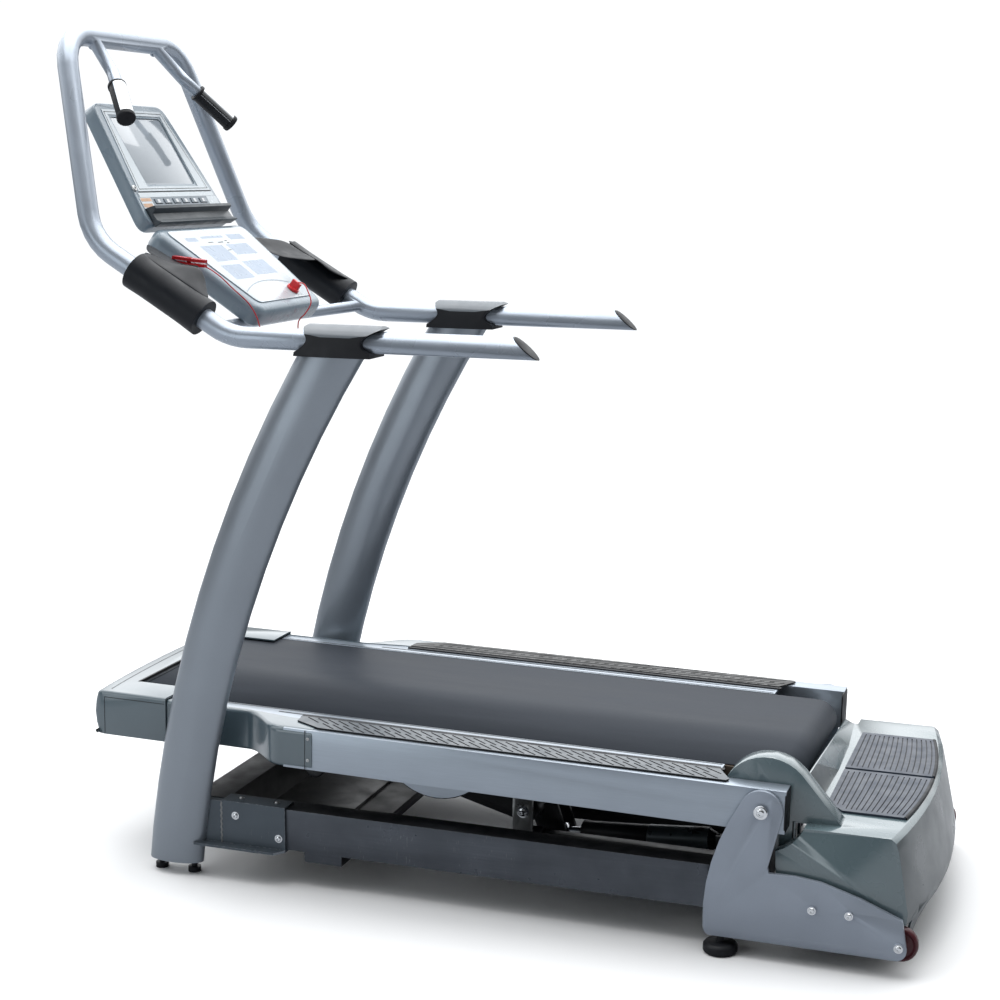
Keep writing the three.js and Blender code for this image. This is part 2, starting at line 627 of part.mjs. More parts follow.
function pulleyCover() {
  const pulleyRoom = cylinderX(PIVOT.y, PIVOT.z, FIN.r - 4, FIN.inner + 4, FIN.outer - 4, 32);
  const beltRoom = prismX(
    [[700, 392], [745, 385], [822, 302], [822, 280], [733, 280], [733, 210], [700, 232]],
    FIN.inner + 4, FIN.outer - 4);
  const shaftHole = cylinderX(PIVOT.y, PIVOT.z, 14, FIN.inner - 5, FIN.outer + 5, 24);
  const mouth = block(FIN.inner + 4, FIN.outer - 4, 700, 826, 200, HOOD.top + 4);
  return cut(finSolid(0), pulleyRoom, beltRoom, shaftHole, mouth);
}

function stepMat(side) {
  const rear = (x) => 984 - 27 * (x / 285) ** 2;
  const inner = 6;
  const steps = 6;
  const edge = Array.from({ length: steps + 1 }, (_, k) => inner + ((285 - inner) * k) / steps);
  const outline = [[inner, 788], ...edge.map((x) => [x, rear(x)])];
  // the left mat is clipped beside the pulley cover
  outline.push(...(side > 0 ? [[285, 826], [240, 788]] : [[285, 788]]));
  return prismZ(side > 0 ? outline : mirrored(outline), HOOD.top + GAP, HOOD.top + 5);
}

function driveMotor() {
  const body = turnedX(
    [[0, -130], [52, -130], [62, -118], [62, 98], [52, 110], [18, 110], [18, 118], [0, 118]],
    MOTOR.y, MOTOR.z, 170, 28);
  const foot = block(70, 260, MOTOR.y - 55, MOTOR.y + 55, 104, 124);
  return join(body, foot);
}

place("rear_hood", rearHood(), hoodPlastic);
place("pulley_cover", pulleyCover(), hoodPlastic);
place("step_mat_left", stepMat(1), rubber);
place("step_mat_right", stepMat(-1), rubber);
place("drive_motor", driveMotor(), blackSteel);
place("motor_pulley", join(
  cylinderX(MOTOR.y, MOTOR.z, PULLEY_R.motor - 1.5, 326, 356, 28),
  cylinderX(MOTOR.y, MOTOR.z, 9, 288.5, 330, 20)), brushedSteel);

// open belt loop round two pulleys in the YZ plane
function beltLoop(a, b, inner, x0, x1, thick) {
  const loop = (grow) => {
    const gap = Math.hypot(b.y - a.y, b.z - a.z);
    const heading = Math.atan2(b.z - a.z, b.y - a.y);
    const lean = Math.acos((inner.a - inner.b) / gap);
    const shape = new THREE.Shape();
    shape.absarc(a.y, a.z, inner.a + grow, heading + lean, heading - lean + 2 * Math.PI, false);
    shape.absarc(b.y, b.z, inner.b + grow, heading - lean, heading + lean, false);
    return shape;
  };
  return cut(prismX(loop(thick), x0, x1, 9), prismX(loop(0), x0 - 1, x1 + 1, 9));
}

place("drive_belt",
  beltLoop(PIVOT, MOTOR, { a: PULLEY_R.roller + 0.4, b: PULLEY_R.motor - 1 }, 328, 354, 4), rubber);

// ---- deck: local y is backwards from the hinge, z up from it ---------------------------------
const deck = new THREE.Group();
deck.position.set(0, PIVOT.y, PIVOT.z);
deck.rotation.x = -radians(DECK_TILT);
model.add(deck);

function rail(side) {
  const bore = block(...span(side, RAIL_INNER + 4, RAIL_OUTER - 4),
    -TUBE_FRONT - 10, RAIL_REAR + 5, RAIL_BOTTOM + 4, RAIL_TOP - 4);
  const tube = cut(
    block(...span(side, RAIL_INNER, RAIL_OUTER), -TUBE_FRONT, RAIL_REAR, RAIL_BOTTOM, RAIL_TOP), bore);
  const hub = cylinderX(0, 0, 20, ...span(side, RAIL_INNER, RAIL_OUTER));
  const flange = block(...span(side, STRIP_INNER, RAIL_INNER + 1), -SHOULDER_START, -108, 38, RAIL_TOP);
  const strip = block(...span(side, STRIP_INNER, NARROW_HALF - 4), -CAP_START, -108, 38, RAIL_TOP);
  const gussetPlan = [
    [NARROW_HALF - 5, -SHOULDER_START + 1],
    [NARROW_HALF - 5, -SHOULDER_END + 12],
    [NARROW_HALF - 2, -SHOULDER_END + 12],
    [RAIL_INNER + 1, -SHOULDER_START - 18],
    [RAIL_INNER + 1, -SHOULDER_START + 1],
  ].map(([x, y]) => [side * x, y]);
  const gusset = prismZ(side > 0 ? gussetPlan : gussetPlan.reverse(), 38, RAIL_TOP);
  const boltHole = cylinderX(0, 0, 10 + GAP, ...span(side, 376, 430), 24);
  const shaftHole = cylinderX(0, 0, 12 + GAP, ...span(side, 360, 374), 24);
  return cut(join(tube, hub, flange, strip, gusset), boltHole, shaftHole);
}

// sleeve that narrows the deck's side to pass between the uprights
function railCover(side) {
  const wide = RAIL_OUTER + 2;
  const shoulder = [0, 0.12, 0.25, 0.4, 0.6, 0.75, 0.88, 1].map((t) => [
    wide - (wide - NARROW_HALF) * t * t * (3 - 2 * t),
    -SHOULDER_START - (SHOULDER_END - SHOULDER_START) * t,
  ]);
  const plan = [
    [STRIP_INNER + 16, -SHOULDER_END], [NARROW_HALF - 4, -SHOULDER_END + 6],
    [RAIL_INNER + 10, -SHOULDER_START - 6],
    [RAIL_INNER + 10, -SLEEVE_START - 1], [wide, -SLEEVE_START - 1],
    ...shoulder,
    [NARROW_HALF, -CAP_START + GAP], [STRIP_INNER + 16, -CAP_START + GAP],
  ].map(([x, y]) => [side * x, y]);
  const outer = prismZ(side > 0 ? plan : plan.reverse(), RAIL_BOTTOM - 1.5, RAIL_TOP + 1.5);
  const tubeRoom = block(...span(side, 280, RAIL_OUTER + GAP),
    -TUBE_FRONT - 1, -SLEEVE_START + 9, RAIL_BOTTOM - GAP, RAIL_TOP + GAP);
  const stripRoom = block(...span(side, 270, NARROW_HALF - 3),
    -1500, -TUBE_FRONT + 10, RAIL_BOTTOM - 9, RAIL_TOP + 5);
  return cut(outer, tubeRoom, stripRoom);
}

function sidePad(side) {
  const points = [
    [PAD.inner, -PAD.front], [PAD.outer - 34, -PAD.front + 4], [PAD.outer, -PAD.front + 70],
    [PAD.outer, -PAD.rear - 6], [PAD.outer - 10, -PAD.rear], [PAD.inner, -PAD.rear - 32],
  ].map(([x, y]) => [side * x, y]);
  return prismZ(side > 0 ? points : points.reverse(), RAIL_TOP + 1.5 + GAP, PAD.top);
}

function deckFrame() {
  const pieces = [160, 520, 900, 1280, 1450].map((s) => block(-298, 298, -s - 25, -s + 25, -26, 19));
  for (const [, side] of sides) {
    const runner = block(...span(side, 296, 330), -1575, -112, RAIL_BOTTOM, 37.5);
    const linkEnds = [200, 620, 1040].map((s) =>
      block(...span(side, 329, RAIL_INNER - GAP), -s - 40, -s + 40, -30, 20));
    const hanger = new THREE.Shape().absarc(-762, 28, 144, 0, 2 * Math.PI, false);
    const plate = common(prismX(hanger, ...span(side, 296.5, 302.5), 20),
      block(...span(side, 290, 310), -1000, -500, -200, -20));
    pieces.push(runner, ...linkEnds, plate);
  }
  const rollerSeats = cylinderX(-FRONT_ROLLER, 0, 10 + GAP, -340, 340, 20);
  return cut(join(...pieces), rollerSeats);
}

function runningBelt() {
  const round = (r) => {
    const shape = new THREE.Shape();
    shape.absarc(0, 0, r, -Math.PI / 2, Math.PI / 2, false);
    shape.absarc(-FRONT_ROLLER, 0, r, Math.PI / 2, 1.5 * Math.PI, false);
    return shape;
  };
  const r = ROLLER_R + GAP;
  return cut(prismX(round(r + BELT_THICK), -BELT_HALF, BELT_HALF, 9),
    prismX(round(r), -BELT_HALF - 1, BELT_HALF + 1, 9));
}

// side profile of the front cap with its barrel nose, bowed forward in the middle
const CAP_NOSE = [[0, 52], [6, 45], [11, 27], [14, 0], [11, -28], [6, -46], [0, -54]];

function capSection(x, inset, rear, tall) {
  const nose = CAP_END + CAP_BOW * (1 - (x / CAP_HALF) ** 2) - inset;
  return [
    [rear, 52 * tall], ...CAP_NOSE.map(([out, z]) => [-nose - out, z * tall]), [rear, -54 * tall],
  ];
}

function frontCap() {
  const wall = 4;
  const outer = lofted(stationsAcross(CAP_HALF, 10, (x) => capSection(x, 0, -CAP_START, 1)));
  const hollow = lofted(
    stationsAcross(CAP_HALF - wall, 10, (x) => capSection(x, wall, -CAP_START + 6, 1.12)));
  const room = common(hollow, block(-CAP_HALF, CAP_HALF, -1700, -CAP_START + 5, -59, 52 - wall));
  const mouth = block(-238, 238, -1556, -CAP_START + 5, 40, 60);
  return cut(outer, room, mouth);
}

function rollerWithShaft(y, shaftR, shaftHalf, drumHalf) {
  return join(
    cylinderX(y, 0, ROLLER_R, -drumHalf, drumHalf, 32),
    cylinderX(y, 0, shaftR, -shaftHalf, shaftHalf, 20));
}

for (const [label, side] of sides) {
  place(`deck_rail_${label}`, rail(side), silverPaint, deck);
  place(`rail_cover_${label}`, railCover(side), coverPlastic, deck);
  place(`side_pad_${label}`, sidePad(side), padGrey, deck);
}
place("deck_frame", deckFrame(), blackSteel, deck);
place("deck_board",
  block(-STRIP_INNER + GAP, STRIP_INNER - GAP, -1485, -60, 19 + GAP, ROLLER_R - GAP), board, deck);
place("running_belt", runningBelt(), beltRubber, deck);
place("front_roller", rollerWithShaft(-FRONT_ROLLER, 10, 326, 285), brushedSteel, deck);
place("rear_roller", join(rollerWithShaft(0, 12, 373, 285),
  cylinderX(0, 0, PULLEY_R.roller, 326, 356, 32)), brushedSteel, deck);
place("front_cap", frontCap(), coverPlastic, deck);

// ---- lift ---------------------------------------------------------------------------------------------
function liftFrame() {
  const pieces = [
    cylinderX(FULCRUM.y, FULCRUM.z, 24, -140, 140),
    cylinderX(LIFT_END.y, LIFT_END.z, 21, -298, 298)];
  for (const [, side] of sides) {
    pieces.push(prismX(taperedBar(FULCRUM, LIFT_END, 32, 20), ...span(side, 95, 135), 4));
    pieces.push(cylinderX(LIFT_END.y, LIFT_END.z, 8, ...span(side, 290, 327), 20));
    const crank = new THREE.Shape();
    crank.absarc(FULCRUM.y, FULCRUM.z, 40, radians(30), radians(170), false);
    crank.lineTo(CRANK_PIN.y - 42, CRANK_PIN.z);
    crank.absarc(CRANK_PIN.y, CRANK_PIN.z, 24, radians(240), radians(370), false);
    pieces.push(prismX(crank, ...span(side, 30, 40), 4));
  }
  pieces.push(cylinderX(CRANK_PIN.y, CRANK_PIN.z, 8, -40, 40, 20));
  return cut(join(...pieces), cylinderX(FULCRUM.y, FULCRUM.z, 10 + GAP, -170, 170, 24));
}

const liftRoller = (side) => turnedX(
  [[8 + GAP, -11], [20, -11], [LIFT_END.rollerR, -8], [LIFT_END.rollerR, 8], [20, 11], [8 + GAP, 11]],
  LIFT_END.y, LIFT_END.z, side * 315.5, 20);

place("lift_frame", liftFrame(), blackSteel);
place("lift_roller_left", liftRoller(1), chromed);
place("lift_roller_right", liftRoller(-1), chromed);

// screw actuator: local y runs from its rear eye towards the crank pin
const reach = Math.hypot(CRANK_PIN.y - ACTUATOR_BASE.y, CRANK_PIN.z - ACTUATOR_BASE.z);
const actuator = new THREE.Group();
actuator.position.set(0, ACTUATOR_BASE.y, ACTUATOR_BASE.z);
actuator.rotation.x = Math.atan2(ACTUATOR_BASE.z - CRANK_PIN.z, ACTUATOR_BASE.y - CRANK_PIN.y);
model.add(actuator);

const barrel = (profile) => turned(profile.map(([r, along]) => [r, -along]), 24);
const ROD_SLOT = { pin: 8, room: 6, rim: 22 };
const tubeBody = cut(
  barrel([
    [0, 24], [16, 24], [22, 36], [30, 50], [30, 84], [24, 86],
    [24, 190], [27, 190], [27, 352], [20, 356], [0, 356]]),
  barrel([[0, 120], [11 + GAP, 120], [11 + GAP, 380], [0, 380]]));
const rearEye = cut(join(cylinderX(0, 0, 17, -12, 12, 20), block(-12, 12, -40, 0, -12, 12)),
  cylinderX(0, 0, 8 + GAP, -20, 20, 20));
place("actuator_body", join(tubeBody, rearEye), blackSteel, actuator);
place("actuator_rod", cut(
  join(barrel([[0, 150], [11, 150], [11, reach - 16], [0, reach - 16]]),
    cylinderX(-reach, 0, ROD_SLOT.rim, -14, 14, 24)),
  cylinderX(-reach, 0, ROD_SLOT.pin + ROD_SLOT.room, -20, 20, 24)), chromed, actuator);

export default model;
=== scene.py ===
import json
import math

import bmesh
import bpy
from mathutils import Matrix, Vector
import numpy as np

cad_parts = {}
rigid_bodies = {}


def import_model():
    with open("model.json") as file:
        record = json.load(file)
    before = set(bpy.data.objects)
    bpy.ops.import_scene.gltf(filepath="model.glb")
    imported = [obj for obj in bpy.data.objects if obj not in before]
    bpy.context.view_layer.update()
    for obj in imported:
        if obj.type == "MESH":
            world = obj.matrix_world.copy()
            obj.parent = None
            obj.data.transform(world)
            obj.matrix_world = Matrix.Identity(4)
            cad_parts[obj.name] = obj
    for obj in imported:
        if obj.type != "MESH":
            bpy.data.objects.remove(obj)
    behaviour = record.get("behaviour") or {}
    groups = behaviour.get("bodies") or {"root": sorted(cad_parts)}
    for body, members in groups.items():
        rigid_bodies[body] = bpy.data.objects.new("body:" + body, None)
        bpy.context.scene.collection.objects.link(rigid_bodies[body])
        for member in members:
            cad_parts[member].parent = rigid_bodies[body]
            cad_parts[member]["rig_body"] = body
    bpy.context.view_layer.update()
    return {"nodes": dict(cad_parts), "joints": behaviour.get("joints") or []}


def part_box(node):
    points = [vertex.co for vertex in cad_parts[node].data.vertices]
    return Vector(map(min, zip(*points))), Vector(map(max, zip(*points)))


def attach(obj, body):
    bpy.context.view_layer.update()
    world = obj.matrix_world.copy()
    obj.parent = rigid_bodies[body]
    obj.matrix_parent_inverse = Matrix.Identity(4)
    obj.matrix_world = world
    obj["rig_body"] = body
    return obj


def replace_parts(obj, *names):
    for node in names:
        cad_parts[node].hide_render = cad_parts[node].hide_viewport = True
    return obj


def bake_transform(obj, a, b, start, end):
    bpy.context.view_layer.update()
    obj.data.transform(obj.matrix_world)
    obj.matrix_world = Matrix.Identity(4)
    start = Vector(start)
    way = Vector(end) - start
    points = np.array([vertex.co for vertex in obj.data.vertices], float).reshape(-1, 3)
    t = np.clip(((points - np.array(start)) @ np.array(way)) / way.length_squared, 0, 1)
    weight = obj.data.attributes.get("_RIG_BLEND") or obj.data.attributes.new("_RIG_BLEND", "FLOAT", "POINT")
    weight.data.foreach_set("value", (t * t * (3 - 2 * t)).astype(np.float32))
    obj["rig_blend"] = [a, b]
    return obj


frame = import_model()
NODES = frame["nodes"]
JOINTS = {j["name"]: j for j in frame["joints"]}
SIDES = (("left", 1), ("right", -1))
MM = 0.001


# ---------------------------------------------------------------- materials

class Graph:
    """A shorthand for wiring the shader nodes of a material or a world."""

    def __init__(self, owner):
        self.owner = owner
        owner.use_nodes = True
        self.tree = owner.node_tree
        self.tree.nodes.clear()

    def add(self, kind, values=None, **settings):
        node = self.tree.nodes.new("ShaderNode" + kind)
        for key, value in settings.items():
            setattr(node, key, value)
        for key, value in (values or {}).items():
            if isinstance(value, bpy.types.NodeSocket):
                self.tree.links.new(value, node.inputs[key])
            else:
                node.inputs[key].default_value = value
        return node

    def coords(self, scale=(1, 1, 1), turn=(0, 0, 0)):
        source = self.add("TexCoord").outputs["Object"]
        return self.add("Mapping", {0: source, "Scale": scale, "Rotation": turn}).outputs[0]

    def noise(self, scale, vector, detail=3.0, rough=0.55):
        node = self.add("TexNoise", {"Vector": vector, "Scale": scale, "Detail": detail, "Roughness": rough})
        return node.outputs["Fac"]

    def band(self, value, low, high, out_low=0.0, out_high=1.0):
        values = {0: value, 1: low, 2: high, 3: out_low, 4: out_high}
        return self.add("MapRange", values, clamp=True).outputs[0]

    def math(self, operation, a, b=0.0):
        return self.add("Math", {0: a, 1: b}, operation=operation).outputs[0]

    def mix(self, factor, a, b):
        node = self.add("Mix", data_type="RGBA")
        for index, value in ((0, factor), (6, a), (7, b)):
            if isinstance(value, bpy.types.NodeSocket):
                self.tree.links.new(value, node.inputs[index])
            else:
                node.inputs[index].default_value = value
        return node.outputs[2]

    def edge(self, radius):
        """1 near sharp edges, 0 on flats."""
        bevel = self.add("Bevel", {"Radius": radius}, samples=4).outputs[0]
        normal = self.add("NewGeometry").outputs["Normal"]
        dot = self.add("VectorMath", {0: bevel, 1: normal}, operation="DOT_PRODUCT").outputs["Value"]
        return self.band(dot, 0.995, 0.80)

    def upward(self, low=0.6, high=0.95):
        normal = self.add("NewGeometry").outputs["Normal"]
        up = self.add("SeparateXYZ", {0: normal}).outputs["Z"]
        return self.band(up, low, high)

    def finish(self, color, rough, metal, bump=None, **extra):
        values = {"Base Color": color, "Roughness": rough, "Metallic": metal, **extra}
        if bump is not None:
            values["Normal"] = bump
        shader = self.add("BsdfPrincipled", values)
        self.add("OutputMaterial", {"Surface": shader.outputs[0]})
        return self.owner


def rgb(color, gain=1.0):
    return (*(min(1.0, c * gain) for c in color), 1.0)


def surface(name, color, rough, metal=0.0, mottle=0.08, mottle_scale=7.0, grain=900.0, depth=0.02,
            stretch=(1, 1, 1), wear=0.0, wear_color=(0.75, 0.76, 0.77), dust=0.0, scuffs=0.0,
            rough_spread=0.10, **extra):
    """Cloudy colour, a bump grain depth millimetres deep, fine scuffs, settled dust and worn edges."""
    g = Graph(bpy.data.materials.new(name))
    plain = g.coords()
    clouds = g.noise(mottle_scale, plain, 5.0)
    base = g.mix(g.band(clouds, 0.3, 0.7), rgb(color, 1 - mottle), rgb(color, 1 + mottle))
    fine = g.noise(grain, g.coords(stretch), 2.0)
    base = g.mix(g.band(fine, 0.35, 0.65, 0.0, 0.35), base, rgb(color, 0.82))
    roughness = g.band(g.noise(mottle_scale * 3, plain), 0.3, 0.7, rough - rough_spread, rough + rough_spread)
    if scuffs:
        lines = g.noise(1.0, g.coords((14, 420, 60), (0.5, 0.2, 0.9)), 2.0)
        patch = g.band(g.noise(5.0, plain), 0.5, 0.62)
        mask = g.math("MULTIPLY", g.band(lines, 0.66, 0.72, 0.0, scuffs), patch)
        base = g.mix(mask, base, rgb(wear_color))
    if dust:
        settled = g.math("MULTIPLY", g.upward(), g.band(g.noise(22.0, plain, 6.0), 0.35, 0.75, 0.0, dust))
        base = g.mix(settled, base, rgb((0.40, 0.40, 0.40)))
    if wear:
        chips = g.band(g.noise(120.0, plain, 4.0), 0.45, 0.6, 0.0, wear)
        base = g.mix(g.math("MULTIPLY", g.edge(1.6 * MM), chips), base, rgb(wear_color))
    bump = g.add("Bump", {"Height": fine, "Distance": depth * MM, "Strength": 0.45}).outputs[0]
    return g.finish(base, roughness, metal, bump, **extra)


GLOSSY = {"Coat Weight": 1.0, "Coat Roughness": 0.14, "Coat IOR": 1.65}
SATIN = {"Coat Weight": 0.5, "Coat Roughness": 0.28}
DULL = {"Specular IOR Level": 0.32}
FINISHES = {
    "silver_paint": surface("silver_paint", (0.42, 0.475, 0.55), 0.30, 0.45, 0.03, 3, 1500, 0.012, **SATIN),
    "rail_silver": surface("rail_silver", (0.39, 0.445, 0.51), 0.34, 0.55, 0.04, 4, 700, 0.02,
                           stretch=(1, 0.02, 1), scuffs=0.03, rough_spread=0.05, **SATIN),
    "mast_paint": surface("mast_paint", (0.30, 0.336, 0.38), 0.31, 0.55, 0.05, 4, 1300, 0.012,
                          rough_spread=0.03, **SATIN),
    # Bracket at the mast's foot: the mast's paint darkened as painted shade, with worn edges and scuffs.
    "bracket_shade_and_wear": surface("bracket_shade_and_wear", (0.09, 0.11, 0.13), 0.40, 0.5, 0.12, 6, 1300, 0.03,
                             wear=0.5, scuffs=0.2),
    "plate_paint": surface("plate_paint", (0.345, 0.39, 0.46), 0.40, 0.4, 0.05, 5, 1100, 0.03,
                           wear=0.2, scuffs=0.05, **SATIN),
    "base_steel": surface("base_steel", (0.085, 0.095, 0.112), 0.36, 0.6, 0.25, 5, 260, 0.05,
                          stretch=(1, 0.03, 1), wear=0.7, wear_color=(0.45, 0.46, 0.48),
                          dust=0.25, scuffs=0.25),
    "bare_steel": surface("bare_steel", (0.27, 0.275, 0.275), 0.35, 0.7, 0.15, 12, 400, 0.04,
                          stretch=(1, 1, 0.1), wear=0.5),
    "motor_grey": surface("motor_grey", (0.085, 0.10, 0.11), 0.35, 0.5, 0.15, 9, 600, 0.03, wear=0.5),
    "black_steel": surface("black_steel", (0.012, 0.013, 0.015), 0.42, 0.2, 0.2, 6, 800, 0.03, wear=0.3,
                           wear_color=(0.2, 0.2, 0.2), dust=0.06),
    "chrome": surface("chrome", (0.78, 0.80, 0.82), 0.13, 1.0, 0.04, 8, 500, 0.003, stretch=(0.1, 1, 1),
                      rough_spread=0.05),
    "zinc": surface("zinc", (0.50, 0.51, 0.51), 0.30, 0.9, 0.08, 20, 900, 0.02, wear=0.4),
    "hood_plastic": surface("hood_plastic", (0.115, 0.165, 0.182), 0.27, 0.0, 0.05, 4, 1600, 0.012,
                            rough_spread=0.04, **GLOSSY),
    # Rear faces of the hood: darker and greyer than its sides, a painted shade.
    "hood_rear_painted_shade": surface("hood_rear_painted_shade", (0.066, 0.082, 0.088), 0.34, 0.0, 0.05, 4, 1600, 0.012, **SATIN),
    "cover_plastic": surface("cover_plastic", (0.088, 0.130, 0.154), 0.32, 0.0, 0.05, 5, 1500, 0.015,
                             rough_spread=0.04, **GLOSSY),
    "console_plastic": surface("console_plastic", (0.21, 0.27, 0.32), 0.30, 0.0, 0.05, 6, 1500, 0.015,
                               rough_spread=0.05, **SATIN),
    "panel_plastic": surface("panel_plastic", (0.56, 0.62, 0.66), 0.30, 0.0, 0.03, 6, 1800, 0.005, **SATIN),
    "screen_glass": surface("screen_glass", (0.33, 0.37, 0.41), 0.10, 0.0, 0.05, 5, 900, 0.002,
                            rough_spread=0.04, **{"Coat Weight": 0.9, "Coat Roughness": 0.04}),
    "black_rubber": surface("black_rubber", (0.009, 0.010, 0.013), 0.50, 0.0, 0.15, 9, 1400, 0.05, dust=0.02,
                            **DULL),
    # Near side pad: a lighter grey than its black rubber, which is a painted sheen; pad_dark below is the far
    # pad.
    "pad_rubber_painted_sheen": surface("pad_rubber_painted_sheen", (0.11, 0.125, 0.14), 0.36, 0.0, 0.1, 10, 1300, 0.04, dust=0.05),
    "pad_dark": surface("pad_dark", (0.022, 0.022, 0.022), 0.45, 0.0, 0.3, 12, 1300, 0.04, dust=0.2, **DULL),
    "mat_rubber": surface("mat_rubber", (0.034, 0.046, 0.070), 0.42, 0.0, 0.10, 9, 1500, 0.06),
    "tray_grey": surface("tray_grey", (0.050, 0.062, 0.072), 0.38, 0.0, 0.1, 9, 1500, 0.03),
    "board_wood": surface("board_wood", (0.07, 0.05, 0.035), 0.45, 0.0, 0.2, 6, 300, 0.05,
                          stretch=(1, 0.05, 1)),
    "red_plastic": surface("red_plastic", (0.62, 0.02, 0.025), 0.25, 0.0, 0.05, 20, 900, 0.01),
    "wheel_plastic": surface("wheel_plastic", (0.075, 0.008, 0.014), 0.38, 0.0, 0.15, 20, 900, 0.03,
                             dust=0.04),
    "key_plastic": surface("key_plastic", (0.72, 0.74, 0.76), 0.35, 0.0, 0.03, 20, 1200, 0.008),
    "pad_moulding": surface("pad_moulding", (0.010, 0.012, 0.016), 0.42, 0.0, 0.1, 9, 1500, 0.03, dust=0.02,
                            **{"Specular IOR Level": 0.22}),
    "clamp_top": surface("clamp_top", (0.16, 0.18, 0.20), 0.36, 0.0, 0.08, 9, 1500, 0.03),
    "panel_blue": surface("panel_blue", (0.34, 0.41, 0.51), 0.32, 0.0, 0.08, 14, 1500, 0.004),
    "band_grey": surface("band_grey", (0.22, 0.26, 0.30), 0.35, 0.0, 0.05, 14, 1500, 0.004),
    "patch_warm": surface("patch_warm", (0.60, 0.36, 0.22), 0.40, 0.0, 0.15, 30, 1500, 0.004),
    "ink": surface("ink", (0.02, 0.022, 0.025), 0.45, 0.0, 0.1, 20, 900, 0.005, **DULL),
}


def belt_material():
    """Dark grey running belt: a fine diamond texture, faint diagonal smears and pale specks."""
    g = Graph(bpy.data.materials.new("belt_rubber"))
    weave = g.add("TexVoronoi", {"Vector": g.coords((1, 1, 1), (0, 0, math.pi / 4)), "Scale": 420.0},
                  distance="CHEBYCHEV").outputs["Distance"]
    smears = g.noise(1.0, g.coords((9, 2.2, 3), (0, 0, 0.9)), 6.0)
    base = g.mix(g.band(smears, 0.3, 0.7), rgb((0.038, 0.044, 0.054)), rgb((0.052, 0.059, 0.071)))
    specks = g.band(g.noise(700.0, g.coords(), 1.0), 0.66, 0.72, 0.0, 0.25)
    base = g.mix(specks, base, rgb((0.16, 0.165, 0.175)))
    roughness = g.band(smears, 0.3, 0.7, 0.42, 0.56)
    bump = g.add("Bump", {"Height": weave, "Distance": 0.10 * MM, "Strength": 0.8}).outputs[0]
    return g.finish(base, roughness, 0.0, bump, **{"Specular IOR Level": 0.06})


FINISHES["belt_rubber"] = belt_material()


def paint(obj, name):
    obj.data.materials.clear()
    obj.data.materials.append(FINISHES[name])


def soften(obj, width, segments=2, angle=32):
    """Merges flat triangles and rounds the sharp edges, by modifiers only."""
    weld = obj.modifiers.new("weld", "WELD")
    weld.merge_threshold = 0.02 * MM
    flat = obj.modifiers.new("flat", "DECIMATE")
    flat.decimate_type = "DISSOLVE"
    flat.angle_limit = math.radians(0.6)
    if width:
        bevel = obj.modifiers.new("round", "BEVEL")
        bevel.width = width * MM
        bevel.segments = segments
        bevel.limit_method = "ANGLE"
        bevel.angle_limit = math.radians(angle)
        bevel.harden_normals = True


def smooth(obj):
    for polygon in obj.data.polygons:
        polygon.use_smooth = True


NODE_FINISH = {
    "base_frame": ("base_steel", 1.5),
    "handrail_hoop": ("silver_paint", 0),
    "rear_hood": ("hood_plastic", 0),
    "pulley_cover": ("hood_plastic", 6.0),
    "front_cap": ("cover_plastic", 2.0),
    "lower_console": ("console_plastic", 0),
    "display_housing": ("console_plastic", 0),
    "console_overlay": ("panel_plastic", 0.4),
    "display_screen": ("screen_glass", 0.5),
    "display_tray": ("tray_grey", 1.0),
    "safety_key": ("red_plastic", 0.8),
    "drive_motor": ("black_steel", 1.0),
    "motor_pulley": ("zinc", 0.5),
    "drive_belt": ("black_rubber", 0),
    "deck_frame": ("black_steel", 1.0),
    "deck_board": ("board_wood", 0.8),
    "running_belt": ("belt_rubber", 0),
    "front_roller": ("chrome", 0.5),
    "rear_roller": ("chrome", 0.5),
    "lift_frame": ("black_steel", 1.0),
    "fulcrum_axle": ("chrome", 0.8),
    "actuator_body": ("black_steel", 0.8),
    "actuator_rod": ("chrome", 0.5),
    **{f"display_key_{i}": ("band_grey", 0.5) for i in range(1, 7)},
}
SIDE_FINISH = {
    "upright": ("mast_paint", 1.2),
    "front_foot": ("black_rubber", 0.8),
    "rear_foot": ("black_rubber", 0.8),
    "side_plate": ("plate_paint", 0.8),
    "pivot_bolt": ("chrome", 1.0),
    "transport_wheel": ("wheel_plastic", 1.5),
    "handrail_cap": ("black_rubber", 1.0),
    "clamp": ("black_rubber", 1.2),
    "grab_grip": ("black_rubber", 1.5),
    "hand_pad": ("black_rubber", 2.0),
    "step_mat": ("mat_rubber", 1.0),
    "deck_rail": ("rail_silver", 2.0),
    "rail_cover": ("cover_plastic", 0),
    "side_pad": ("black_rubber", 0.8),
    "lift_roller": ("black_steel", 0.8),
}
for part, (look, width) in SIDE_FINISH.items():
    for side, _ in SIDES:
        NODE_FINISH[f"{part}_{side}"] = (look, width)
for node, (look, width) in NODE_FINISH.items():
    paint(NODES[node], look)
    soften(NODES[node], width)
    smooth(NODES[node])

# ---------------------------------------------------------------- shapes, all in millimetres

def frame_at(origin, x_axis, y_axis, z_axis):
    turn = Matrix((Vector(x_axis), Vector(y_axis), Vector(z_axis))).transposed().to_4x4()
    return Matrix.Translation(Vector(origin)) @ turn


ROW = Matrix.Identity(4)


def moved(part, where):
    corners, faces = part
    return [where @ Vector(c) for c in corners], faces


def flipped(part):
    """Mirror image across the machine's middle plane."""
    corners, faces = part
    return [(-c[0], c[1], c[2]) for c in corners], [face[::-1] for face in faces]


def sided(parts, side):
    return parts if side > 0 else [flipped(part) for part in parts]


